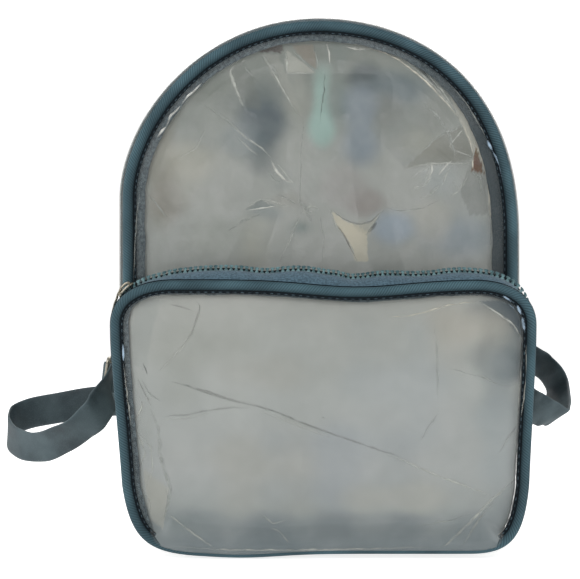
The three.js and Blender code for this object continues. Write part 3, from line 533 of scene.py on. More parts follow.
def pocketHalf(side, corner, taper):
    half = pocket["width"] / 2
    low = half - taper
    rise, height = pocket["cornerHeight"], pocket["height"]
    full = height - pocket["topCornerHeight"]
    points = evenly([
        curveThrough([(0, 0), (low - corner, 0)]),
        curveThrough([
            (low - corner, 0), (low - corner * 0.3, 0), (low - taper * 0.7, rise * 0.25), (low, rise),
        ]),
        curveThrough([
            (low, rise), (mix(low, half, 0.4), mix(rise, full, 0.4)), (half, mix(rise, full, 0.75)),
            (half, full),
        ]),
        curveThrough([
            (half, full), (half, mix(full, height, 0.6)),
            (half - pocket["topCornerWidth"] * 0.35, height), (half - pocket["topCornerWidth"], height),
        ]),
        curveThrough([(half - pocket["topCornerWidth"], height), (0, height)]),
    ])
    away = (side * points[:, 0] / half - pocket["dipAt"]) / pocket["dipSpread"]
    awayLow = (side * points[:, 0] / half - pocket["sagAt"]) / pocket["sagSpread"]
    dip = pocket["dip"] * np.exp(-away * away) * smoothStep(full, height, points[:, 1])
    sag = pocket["sag"] * np.exp(-awayLow * awayLow) * (1 - smoothStep(0, pocket["sagHeight"], points[:, 1]))
    points[:, 1] += pocket["lift"] - dip - sag
    return points


bodyOutline = Outline(
    bodyHalf(1, body["domeRight"], body["shoulderRight"], body["crownRight"]),
    bodyHalf(-1, body["domeLeft"], body["shoulderLeft"], body["crownLeft"]),
)
pocketOutline = Outline(
    pocketHalf(1, pocket["cornerRight"], pocket["taperRight"]),
    pocketHalf(-1, pocket["cornerLeft"], pocket["taperLeft"]),
)


def frontPlane(z):
    return bodyFront + 0 * z


def backPlane(z):
    return bodyBack + 0 * z


def pocketPlane(z):
    share = np.clip((z - pocket["lift"]) / pocket["height"], 0, 1)
    return bodyFront - mix(pocket["depthBase"], pocket["depthTop"], share)


def seamDepth(x, z):  # where the pocket's walls meet the body
    away = np.sqrt(
        (x[:, None] - bodyOutline.points[None, ::6, 0]) ** 2
        + (z[:, None] - bodyOutline.points[None, ::6, 1]) ** 2
    )
    share = smoothStep(2 * body["piping"] + 1, 2 * body["piping"] + 7, away.min(axis=1))
    return mix(bodyFront - body["piping"] - trim["gap"], bodyFront - trim["sheet"] / 2 - trim["gap"], share)


wallStart = bodyFront + body["piping"] + trim["gap"]
wallSpan = bodyBack - bodyFront - 2 * body["piping"] - 2 * trim["gap"]


def bodyWall(points, normals, q):
    sideShare = smoothStep(0, body["cornerHeight"], points[:, 1])
    sideBulge = np.where(normals[:, 0] < 0, body["bulgeLeft"], body["bulgeRight"])
    bulge = mix(sideBulge, body["bulgeTop"], np.maximum(0, normals[:, 1]) ** 2)[:, None]
    swell = (bulge + body["piping"]) * np.sin(math.pi * np.clip(q, 0, 1) ** body["skew"])[None].clip(0) ** 0.5
    depth = np.broadcast_to(wallStart + wallSpan * q, swell.shape)
    return depth, sideShare[:, None] * (swell - body["piping"])


pocketWallStart = pocket["piping"] + trim["gap"]
pocketWallSpan = pocket["depthTop"] - pocketWallStart - body["piping"]


def pocketWall(points, normals, q):
    front = pocketPlane(points[:, 1]) + pocketWallStart
    seam = points - normals * pocket["seamInset"]
    back = seamDepth(seam[:, 0], seam[:, 1])
    up = np.maximum(0, normals[:, 1])[:, None]
    top = np.interp(points[:, 0], *zip(*pocket["crest"]))[:, None]
    crest = mix(pocket["sideCrest"], top, up * up)
    line = mix(-pocket["piping"], -pocket["seamInset"], q)[None]
    rise = np.sin(math.pi * np.clip(q, 0, 1) ** 0.85)[None]
    return front[:, None] + (back - front)[:, None] * q, line + (crest + pocket["piping"]) * rise


def sweepRows(points, normals, depth, out):
    x = points[:, :1] + normals[:, :1] * out
    z = points[:, 1:] + normals[:, 1:] * out
    return np.stack([x, depth + 0 * x, z], -1)


def wallRows(outline, wall, shares, q, lift=0):
    points, normals = outline.frames(shares)
    depth, out = wall(points, normals, q)
    if np.any(lift):
        step = 0.01
        depthAhead, outAhead = wall(points, normals, np.minimum(1, q + step))
        depthBehind, outBehind = wall(points, normals, np.maximum(0, q - step))
        slopeDepth, slopeOut = depthAhead - depthBehind, outAhead - outBehind
        length = np.hypot(slopeDepth, slopeOut)
        depth = depth - slopeOut / length * lift
        out = out + slopeDepth / length * lift
    return sweepRows(points, normals, depth, out)


bodyZip = bodyOutline.sharesAt(body["zipEnd"])
pocketZip = pocketOutline.sharesAt(pocket["zipEnd"])


def zipShares(span, widths):
    ends = np.cumsum([0, *widths]) / span
    return [(a, b) for a, b in zip(ends, [*ends[1:], 1])]


bodyStrips = zipShares(wallSpan, [body["frontStrip"], body["tape"], trim["chain"], body["tape"]])
pocketStrips = zipShares(pocketWallSpan, [pocket["tape"], trim["chain"], pocket["tape"]])
print("outlines made")


# piping round the panels, with its seam line of stitches
pipingLook = {"stations": 900, "sides": 20, "stitchPitch": 4.1, "stitchLength": 2.4, "stitchWidth": 0.26}


def addPiping(name, outline, radius, plane, replaced):
    shares = np.arange(pipingLook["stations"]) / pipingLook["stations"]
    points, normals = outline.frames(shares)
    angles = np.arange(pipingLook["sides"]) * 2 * math.pi / pipingLook["sides"] - math.pi / 2
    wobble = np.array([
        noise.noise(Vector((x * 0.05, z * 0.05, radius))) for x, z in points
    ])
    size = radius * (1 + 0.02 * wobble)
    depth = plane(points[:, 1])[:, None] + size[:, None] * np.cos(angles)[None]
    out = size[:, None] * np.sin(angles)[None] - radius
    gridPiece(name, sweepRows(points, normals, depth, out), "piping", replaced, True, True)


def addStitches(name, outline, inset, depthAt, slot="zip_tape"):
    count = int(outline.total / pipingLook["stitchPitch"])
    stitches = Gathered()
    half = pipingLook["stitchLength"] / 2 / outline.total
    for k in range(count):
        shares = (k / count) + np.linspace(-half, half, 5)
        points, normals = outline.frames(shares)
        place = points - normals * inset
        sag = np.array([0.25, -0.1, -0.2, -0.1, 0.25])
        line = np.stack([place[:, 0], depthAt(place[:, 1]) + sag, place[:, 1]], -1)
        radius = pipingLook["stitchWidth"] * np.array([0.5, 1, 1, 1, 0.5])
        stitches.addRows(tubeAlong(line, radius, 5))
    stitches.piece(name, "thread", slot)


addPiping("front_cord", bodyOutline, body["piping"], frontPlane, ["front_piping"])
addPiping("back_cord", bodyOutline, body["piping"], backPlane, ["back_piping"])
addPiping("pocket_cord", pocketOutline, pocket["piping"], pocketPlane, ["pocket_piping"])
addStitches("front_stitches", bodyOutline, 2 * body["piping"] + 1.1, lambda z: frontPlane(z) - 0.75)
addStitches("back_stitches", bodyOutline, 2 * body["piping"] + 1.1, lambda z: backPlane(z) + 0.75)
addStitches("pocket_stitches", pocketOutline, 2 * pocket["piping"] + 1, lambda z: pocketPlane(z) - 0.75)
print("piping made")


# the seam bindings behind the panels' edges
bindingLook = {
    "stations": 900, "across": 12, "thickness": 1, "wave": 0.5,
    "body": {"top": 5, "left": 6.4, "right": 7.8, "base": 6},
    "pocket": {"top": 2.2, "left": 4.2, "right": 1.4, "base": 1},
}


def widthRound(normals, widths):  # a width that changes from the top to the sides and the base
    up = smoothStep(0.15, 0.95, normals[:, 1])
    down = smoothStep(0.3, 0.95, -normals[:, 1])
    side = mix(widths["left"], widths["right"], smoothStep(-0.9, 0.9, normals[:, 0]))
    return side + (widths["top"] - side) * up + (widths["base"] - side) * down


def addBinding(name, outline, radius, plane, widths, replaced):
    shares = np.arange(bindingLook["stations"]) / bindingLook["stations"]
    points, normals = outline.frames(shares)
    start = 2 * radius + trim["gap"]
    edge = np.array([
        noise.noise(Vector((x * 0.09, z * 0.09, 3.1))) + 0.6 * noise.noise(Vector((x * 0.4, z * 0.4, 8)))
        for x, z in points
    ])
    width = widthRound(normals, widths) + bindingLook["wave"] * edge
    q = np.linspace(0, 1, bindingLook["across"])
    inset = start + width[:, None] * q[None]
    front = plane(points[:, 1])[:, None] + trim["sheet"] / 2 + trim["gap"]
    sag = 0.35 * np.sin(math.pi * q)[None] + 0 * inset
    top = sweepRows(points, normals, front + sag * 0.4, -inset)
    under = sweepRows(points, normals, front + sag * 0.4 + bindingLook["thickness"], -inset)[:, ::-1]
    gridPiece(name, np.concatenate([top, under], 1), "binding", replaced, True, True)


addBinding(
    "front_binding", bodyOutline, body["piping"], frontPlane, bindingLook["body"], ["front_seam_binding"],
)
addBinding(
    "pocket_binding", pocketOutline, pocket["piping"], pocketPlane, bindingLook["pocket"],
    ["pocket_seam_binding"],
)


# the dark welts that the piping is sewn into, coloured near-black as painted shade for the seam's shadow
welt = {"stations": 720, "width": 1.7, "proud": 0.55, "edge": 0.35, "lip": 0.55}


def addShadeWelt(name, outline, radius, plane, side):
    shares = np.arange(welt["stations"]) / welt["stations"]
    points, normals = outline.frames(shares)
    q = np.linspace(0, 1, 7)
    inset = 2 * radius - welt["edge"] + (welt["width"] + welt["edge"]) * q
    lift = welt["proud"] + 0.25 * np.sin(math.pi * q) + 0.5 * (1 - q) ** 2
    depth = plane(points[:, 1])[:, None] - side * lift[None]
    gridPiece(name, sweepRows(points, normals, depth, -inset[None] + 0 * depth), "welt", (), True)


def addShadeLip():  # the dark line where the pocket's zip tape meets its piping, a near-black strip of painted shade in that join
    shares = np.linspace(*pocketZip, welt["stations"])
    points, normals = pocketOutline.frames(shares)
    out = np.linspace(-1.5, welt["lip"], 4)[None]
    depth = pocketPlane(points[:, 1])[:, None] + pocket["piping"] * 0.8 + 0 * out
    gridPiece("pocket_shade_lip", sweepRows(points, normals, depth, out), "welt")


addShadeLip()
addShadeWelt("front_shade_welt", bodyOutline, body["piping"], frontPlane, 1)
addShadeWelt("back_shade_welt", bodyOutline, body["piping"], backPlane, -1)
addShadeWelt("pocket_shade_welt", pocketOutline, pocket["piping"], pocketPlane, 1)
print("bindings made")


# clear panels
panelLook = {"stations": 480, "rings": 60}


def ringRows(outline, stations, rings, inset, centre):  # from the middle of a panel out to its edge
    shares = np.arange(stations) / stations
    points, normals = outline.frames(shares)
    edge = points - normals * np.reshape(inset, (-1, 1))
    share = np.linspace(0.004, 1, rings)
    out = share[:, None, None]
    return edge[None] * out + np.array(centre)[None, None] * (1 - out), share


def measured(piece):  # its area in square metres
    return sum(face.area for face in piece.data.polygons)


def addPanel(name, outline, radius, plane, bulge, side, centre, replaced, over=0):
    points, normals = outline.frames(np.arange(panelLook["stations"]) / panelLook["stations"])
    low = smoothStep(0.6, 0.98, -normals[:, 1]) * over
    edge = 2 * radius + trim["gap"] - low * radius * 1.2
    flat, share = ringRows(outline, panelLook["stations"], panelLook["rings"], edge, centre)
    x, z = flat[..., 0], flat[..., 1]
    swell = bulge * (1 - share[:, None] ** 3)
    ripple = np.array([
        noise.noise(Vector((a * 0.022, b * 0.016, side))) for a, b in zip(x.ravel(), z.ravel())
    ]).reshape(x.shape)
    sagging = low[None] * (radius + 0.7) * smoothStep(0.8, 0.96, share)[:, None]
    depth = plane(z) - side * swell + 0.7 * ripple * (1 - share[:, None] ** 6) - sagging
    piece = gridPiece(name, np.stack([x, depth, z], -1), "vinyl", replaced, False, True)


bodyCentre = (0, body["height"] / 2)
pocketCentre = (0, pocket["lift"] + pocket["height"] / 2)
addPanel("front_sheet", bodyOutline, body["piping"], frontPlane, 0, 1, bodyCentre, ["front_panel"])
addPanel("back_sheet", bodyOutline, body["piping"], backPlane, 0, -1, bodyCentre, ["back_panel"])
addPanel(
    "pocket_sheet", pocketOutline, pocket["piping"], pocketPlane, pocket["bulge"], 1, pocketCentre,
    ["pocket_panel"], 1,
)
print("panels made")


# side walls and zips
wallLook = {"stations": 700}


def addStrip(name, outline, wall, ends, q, material, replaced, thickness=1, across=10):
    shares = np.linspace(ends[0], ends[1], wallLook["stations"])
    way = np.linspace(q[0], q[1], across)
    top = wallRows(outline, wall, shares, way)
    if material == "sideVinyl":
        piece = gridPiece(name, top, material, replaced)
        return piece
    under = wallRows(outline, wall, shares, way, -thickness)[:, ::-1]
    return gridPiece(name, np.concatenate([top, under], 1), material, replaced, False, True, True)


zipLook = {
    "section": 8, "thickness": 1, "ridge": 1.1, "rearDrop": 2.3,
    "tooth": [  # share across the chain, height and half width, from a tooth's foot on the tape to its head
        (-0.05, 0.1, 1.25), (0.05, 0.7, 1.2), (0.14, 1.15, 0.7), (0.24, 1.7, 0.5), (0.33, 2.3, 1.05),
        (0.44, 2.9, 1.28),
        (0.56, 2.9, 1.2), (0.64, 2.3, 0.7),
    ],
}


def addTeeth(name, outline, wall, ends, q, proud, replaced):  # two rows of moulded teeth over a near-black ridge, painted shade that darkens the gaps between the teeth
    span = (ends[1] - ends[0]) * outline.total
    count = int(round(span / trim["pitch"]))
    turns = np.arange(zipLook["section"]) * 2 * math.pi / zipLook["section"]
    teeth = Gathered()
    for side in (0, 1):
        middles = ends[0] + (np.arange(count - side) + 0.5 + side / 2) / count * (ends[1] - ends[0])
        rings = []
        for across, height, half in zipLook["tooth"]:
            way = mix(q[0], q[1], across if side == 0 else 1 - across)
            shares = (middles[:, None] + half * np.cos(turns)[None] / outline.total).ravel()
            low = wallRows(outline, wall, shares, np.array([way]))[:, 0]
            up = wallRows(outline, wall, shares, np.array([way]), 1)[:, 0] - low
            rise = (height - side * zipLook["rearDrop"] * height / 3) * proud
            lift = rise + zipLook["thickness"] / 2 * (np.sin(turns) - 1)
            rings.append((low + up * np.tile(lift, len(middles))[:, None]).reshape(len(middles), -1, 3))
        for tooth in np.stack(rings, 1):
            teeth.addRows(tooth)
    shares = np.linspace(ends[0], ends[1], wallLook["stations"])
    way = np.linspace(q[0], q[1], 9)
    ridge = wallRows(outline, wall, shares, way)
    up = wallRows(outline, wall, shares, way, 1) - ridge
    rise = proud * zipLook["ridge"] * np.sin(math.pi * np.linspace(0, 1, 9)) ** 0.6
    # the ridge takes the near-black welt colour: painted shade in the gaps between the teeth
    gridPiece(name.replace("teeth", "ridge"), ridge + up * rise[None, :, None], "welt")
    teeth.piece(name, "teeth", "zip_teeth", replaced)


bodyRange = (bodyZip[0], bodyZip[1])
bodyLow = (bodyZip[1], 1 + bodyZip[0])
pocketRange = (pocketZip[0], pocketZip[1])
pocketLow = (pocketZip[1], 1 + pocketZip[0])
frontStrip, frontTape, chain, rearTape, rearStrip = bodyStrips
addStrip(
    "front_wall", bodyOutline, bodyWall, bodyRange, frontStrip, "sideVinyl",
    ["zip_front_strip"],
)
addStrip("front_tape", bodyOutline, bodyWall, bodyRange, frontTape, "tape", ["zip_front_tape"])
addTeeth("body_teeth", bodyOutline, bodyWall, bodyRange, chain, 0.4, ["zip_chain"])
addStrip("rear_tape", bodyOutline, bodyWall, bodyRange, rearTape, "tape", ["zip_rear_tape"])
addStrip(
    "rear_wall", bodyOutline, bodyWall, bodyRange, rearStrip, "sideVinyl",
    ["zip_rear_strip"], across=24,
)
addStrip(
    "base_wall", bodyOutline, bodyWall, bodyLow, (0, 1), "sideVinyl", ["base_gusset"],
    across=40,
)
frontTape, chain, rearTape, rearStrip = pocketStrips
addStrip(
    "pocket_tape", pocketOutline, pocketWall, pocketRange, frontTape, "tape",
    ["pocket_front_tape"],
)
addTeeth("pocket_teeth", pocketOutline, pocketWall, pocketRange, chain, 1, ["pocket_zip_chain"])
addStrip(
    "pocket_back_tape", pocketOutline, pocketWall, pocketRange, rearTape, "tape",
    ["pocket_rear_tape"],
)
addStrip(
    "pocket_back_wall", pocketOutline, pocketWall, pocketRange, rearStrip, "sideVinyl",
    ["pocket_rear_strip"],
)
addStrip(
    "pocket_wall", pocketOutline, pocketWall, pocketLow, (0, 1), "sideVinyl",
    ["pocket_gusset"], across=24,
)
print("walls and zips made")


# the loose crumpled films: their edges, what tints them, with painted light and shade on their flats, and
# their creases with painted highlights and shade, by where the photo shows them
# tones for painted highlights and shade on creases, glints and the film's rim
paintedTones = {
    "pale": srgb(205, 208, 200), "white": srgb(234, 234, 226), "cream": srgb(228, 224, 208),
    "grey": srgb(176, 181, 175), "soft": srgb(149, 152, 147), "dark": srgb(92, 97, 94),
    "brown": srgb(72, 60, 50), "blue": srgb(190, 216, 238),
}
bodyFilm = {
    "stations": 560, "rings": 120, "inset": {"top": 9.8, "left": 11.8, "right": 13.2, "base": 13.5},
    "wall": 9.2, "behind": 2.9, "scallop": 0.9, "swell": 2.2, "depth": 50, "bulge": 0, "over": 0,
    "seed": 11, "contrast": 1.45, "foldShare": 1.2, "rim": 0.25, "viewPlane": bodyFront + 2.9,
    "base": [(45, (118, 124, 117)), (110, (136, 141, 135)), (175, (155, 158, 153)), (260, (160, 163, 158))],
    "patches": [  # middle, half width and half height in the photo, tint and share
        (160, 150, 22, 70, (136, 136, 125), 0.7), (165, 195, 24, 26, (133, 131, 122), 0.6),
        (196, 170, 30, 28, (160, 160, 149), 0.7), (215, 96, 26, 26, (119, 125, 117), 0.6),
        (256, 100, 30, 34, (106, 114, 111), 0.8), (264, 130, 32, 34, (92, 102, 104), 0.95),
        (240, 140, 24, 24, (124, 133, 133), 0.5), (300, 100, 14, 56, (141, 144, 135), 0.5),
        # the two teal patches on this line are a painted reflection
        (320, 92, 13, 24, (146, 168, 160), 0.9), (321, 122, 14, 26, (144, 168, 160), 0.9),
        (341, 100, 14, 60, (112, 124, 120), 0.7), (368, 77, 22, 18, (92, 101, 100), 0.9),
        (404, 96, 32, 30, (100, 112, 114), 0.85), (385, 112, 24, 20, (128, 130, 124), 0.5),
        (362, 126, 24, 40, (132, 142, 148), 0.75), (417, 139, 20, 22, (152, 154, 143), 0.7),
        (437, 110, 18, 24, (122, 126, 120), 0.5), (369, 202, 20, 18, (141, 137, 132), 0.75),
        (345, 185, 26, 30, (152, 151, 147), 0.6), (397, 232, 30, 18, (148, 159, 167), 0.8),
        (457, 236, 30, 46, (136, 146, 150), 0.75), (430, 226, 22, 30, (163, 163, 155), 0.6),
        (435, 182, 26, 20, (154, 160, 158), 0.55), (301, 228, 18, 12, (116, 129, 125), 0.7),
        (262, 212, 20, 10, (126, 136, 136), 0.6), (285, 200, 24, 12, (146, 146, 138), 0.5),
        (225, 235, 50, 30, (156, 160, 153), 0.6), (250, 245, 20, 30, (172, 172, 160), 0.5),
        (282, 178, 16, 14, (140, 146, 142), 0.5), (452, 150, 20, 16, (118, 120, 112), 0.6),
    ],
    "facets": [  # a flat of the film between its creases, its tint of painted light and shade, and share
        ([(286, 50), (286, 73), (315, 73)], (156, 158, 149), 0.8),
        ([(292, 46), (314, 45), (317, 70), (300, 56)], (127, 123, 112), 0.8),
        ([(262, 54), (278, 55), (290, 84), (302, 116), (290, 104), (272, 76)], (148, 150, 142), 0.5),
        ([(368, 128), (404, 168), (419, 155), (436, 139), (424, 104), (384, 100)], (126, 131, 126), 0.4),
        ([(419, 155), (436, 139), (464, 125), (474, 158), (452, 164), (404, 169)], (119, 121, 112), 0.65),
        ([(470, 162), (484, 176), (489, 215), (470, 216), (460, 192)], (124, 127, 122), 0.5),
        ([(245, 211), (261, 199), (275, 207)], (118, 126, 124), 0.6),
        ([(229, 70), (243, 62), (254, 78), (262, 110), (245, 108)], (111, 116, 110), 0.5),
        ([
            (448, 93), (458, 108), (468, 122), (476, 136), (482, 150), (486, 174), (477, 158),
            (470, 143), (462, 126),
        ], (170, 170, 160), 0.95),
        ([(474, 157), (471, 171), (484.5, 174), (476.5, 148)], (112, 97, 76), 1),
        ([
            (331, 211), (345, 221), (357, 226), (367, 232), (368, 262), (356, 262), (347, 240),
            (337, 226),
        ], (192, 187, 168), 0.85),
        ([(352, 224), (369, 223), (379, 214), (369, 236), (358, 232)], (170, 168, 154), 0.6),
    ],
    "gaps": [([(257, 53), (262, 46), (270, 40), (283, 40), (282, 54), (272, 52.5)], (58, 48, 42), 1)],
    "folds": [  # painted tone of highlight and shade, width in the photo, strength and line
        ("pale", 4.6, 0.75, [(237, 61), (230, 72), (235, 87), (243, 107)]),
        ("white", 1.6, 0.5, [(229, 70), (231, 78), (236, 88)]),
        ("pale", 2.4, 0.6, [(241, 66), (243, 61), (248, 60)]),
        ("grey", 3, 0.5, [(243, 62), (246, 70), (254, 78)]),
        ("pale", 2, 0.8, [(263, 55), (275, 76), (289, 101), (300, 116)]),
        ("grey", 7, 0.4, [(262, 55), (270, 66), (278, 78)]),
        ("pale", 2.4, 0.8, [(286, 50), (287, 62), (286, 74)]),
        ("pale", 1.9, 0.6, [(286, 74), (300, 73.5), (315, 73.5)]),
        ("grey", 1.9, 0.6, [(292, 50), (304, 62), (315, 73)]),
        ("grey", 1.8, 0.6, [(314, 44), (316, 56), (318, 69)]),
        ("white", 2.4, 0.75, [(326, 43), (329, 52), (330, 65)]),
        ("dark", 1.8, 0.5, [(325, 72), (324, 90), (320, 121)]),
        ("grey", 3.4, 0.5, [(206, 106), (229, 122), (243, 136)]),
        ("pale", 2.4, 0.6, [(229, 122), (243, 136), (262, 149), (272, 159)]),
        ("pale", 2.6, 0.45, [(238, 138), (250, 150), (258, 156)]),
        ("white", 3.4, 0.85, [(271.5, 161), (276, 172), (284, 180), (293, 183)]),
        ("pale", 2, 0.7, [(277, 165), (284, 173), (292, 182)]),
        ("grey", 2.6, 0.5, [(268, 173), (274, 180), (281, 183)]),
        ("grey", 1.8, 0.5, [(304, 116), (301, 153), (300, 194), (300, 213)]),
        ("pale", 1.9, 0.8, [(245, 210), (261, 199), (272, 207)]),
        ("white", 1.8, 0.75, [(245, 211), (260, 209), (276, 207)]),
        ("pale", 2, 0.6, [(261, 199), (275, 203), (287, 206)]),
        ("grey", 2.6, 0.5, [(276, 195), (288, 199), (296, 205)]),
        ("pale", 3.2, 0.8, [(303, 215), (306, 208), (312, 206), (319, 210)]),
        ("pale", 2.6, 0.6, [(305, 216), (309, 211), (316, 213)]),
        ("grey", 6, 0.4, [(298, 200), (306, 208), (312, 222)]),
        ("grey", 1.9, 0.6, [(148, 194), (158, 207), (168, 219)]),
        ("pale", 2.8, 0.75, [(330, 209), (335, 225), (348, 241), (357, 261)]),
        ("brown", 1.6, 0.7, [(335, 222), (344, 236), (355, 257)]),
        ("grey", 1.9, 0.6, [(383, 211), (374, 224), (365, 236)]),
        ("soft", 2, 0.73, [(331, 210), (343, 219), (357, 225), (370, 223), (383, 211)]),
        ("dark", 4, 0.5, [(368, 233), (373, 228), (377, 223)]),
        ("cream", 2.6, 0.95, [(373, 50), (386, 54), (400, 61), (424, 80), (445, 102), (459, 119)]),
        ("brown", 1.7, 0.9, [(422, 77), (436, 90), (447, 102)]),
        ("pale", 3.6, 0.75, [(403, 59), (419, 72), (436, 89), (455, 112)]),
        ("dark", 2.6, 0.6, [(410, 62), (428, 78), (446, 97)]),
        ("pale", 2.8, 0.7, [(423, 71), (432, 80), (445, 95), (457, 114)]),
        ("white", 2, 0.7, [(345, 47), (356, 50), (366, 50)]), ("pale", 1.8, 0.6, [(345, 47), (375, 50)]),
        ("cream", 3, 0.7, [(474, 142), (481, 155), (485, 172)]),
        ("cream", 1.7, 0.9, [(463, 124), (470, 143), (474, 157)]),
        ("cream", 1.7, 0.9, [(474, 157), (472, 163), (473, 170)]),
        ("pale", 1.9, 0.8, [(448.6, 147.5), (455, 139), (464, 130)]),
        ("pale", 2, 0.7, [(448.6, 147.5), (460, 153), (474, 158)]),
        ("grey", 4, 0.55, [(420, 101), (436, 116), (447, 131), (456, 158)]),
        ("grey", 2, 0.6, [(464, 125), (436, 139), (419, 155)]),
        ("pale", 1.8, 0.7, [(404, 169), (432, 164), (456, 164), (474, 164)]),
        ("pale", 1.7, 0.6, [(411, 179), (432, 165), (452, 163)]),
        ("white", 2.6, 0.7, [(431, 164), (432, 172), (427, 182)]),
        ("pale", 2.6, 0.6, [(427, 163), (429, 172), (424, 180)]),
        ("white", 2.4, 0.7, [(438, 176), (447, 165), (452, 160)]),
        ("pale", 2, 0.7, [(442, 185), (446, 176), (450, 168)]),
        ("pale", 3.2, 0.45, [(412, 190), (424, 186), (432, 178)]),
        ("pale", 1.9, 0.8, [(468, 177), (459, 191), (452, 180)]),
        ("pale", 1.6, 0.7, [(459, 191), (450, 197)]),
        ("grey", 4, 0.5, [(471, 172), (480, 178), (482, 195)]),
        ("cream", 1.9, 0.9, [(487, 181), (489, 196), (489.5, 209), (491, 222)]),
        ("grey", 1.6, 0.6, [(491, 222), (491, 250), (492, 275)]),
        ("pale", 5, 0.35, [(420, 200), (430, 195), (440, 186)]),
        ("grey", 2, 0.4, [(385, 208), (402, 212), (424, 208), (440, 200)]),
        ("pale", 2, 0.4, [(206, 130), (196, 150), (176, 160)]),
        ("grey", 2.6, 0.4, [(228, 232), (242, 222), (262, 214)]),
        ("pale", 2.2, 0.4, [(300, 214), (292, 236), (280, 262)]),
        ("grey", 2.2, 0.4, [(320, 216), (324, 240), (322, 262)]),
        ("grey", 1.8, 0.4, [(196, 68), (214, 62), (232, 56)]),
    ],
    "glints": [
        ("white", 2.8, 1, [(157.5, 138), (162, 132), (166.6, 127)]),
        ("white", 2.6, 1, [(166.6, 127), (170, 118), (180.4, 107)]),
        ("white", 2.4, 0.95, [(182, 105), (185, 99.5), (192, 94), (202, 84)]),
        ("blue", 3.4, 1, [(487, 141), (489, 146), (492, 151)]),
        ("blue", 2, 0.6, [(492, 151), (496, 159), (499, 167)]),
        ("blue", 2.8, 1, [(499, 167), (504.7, 186), (508.5, 205)]),
        ("blue", 2.4, 0.85, [(508, 203), (510, 220), (511, 245), (511, 275)]),
        ("grey", 1.6, 0.55, [(141, 190), (137, 215), (135, 250), (134, 285)]),
        ("grey", 1.6, 0.5, [(449, 84), (466, 104), (480, 128), (488, 142)]),
    ],
}
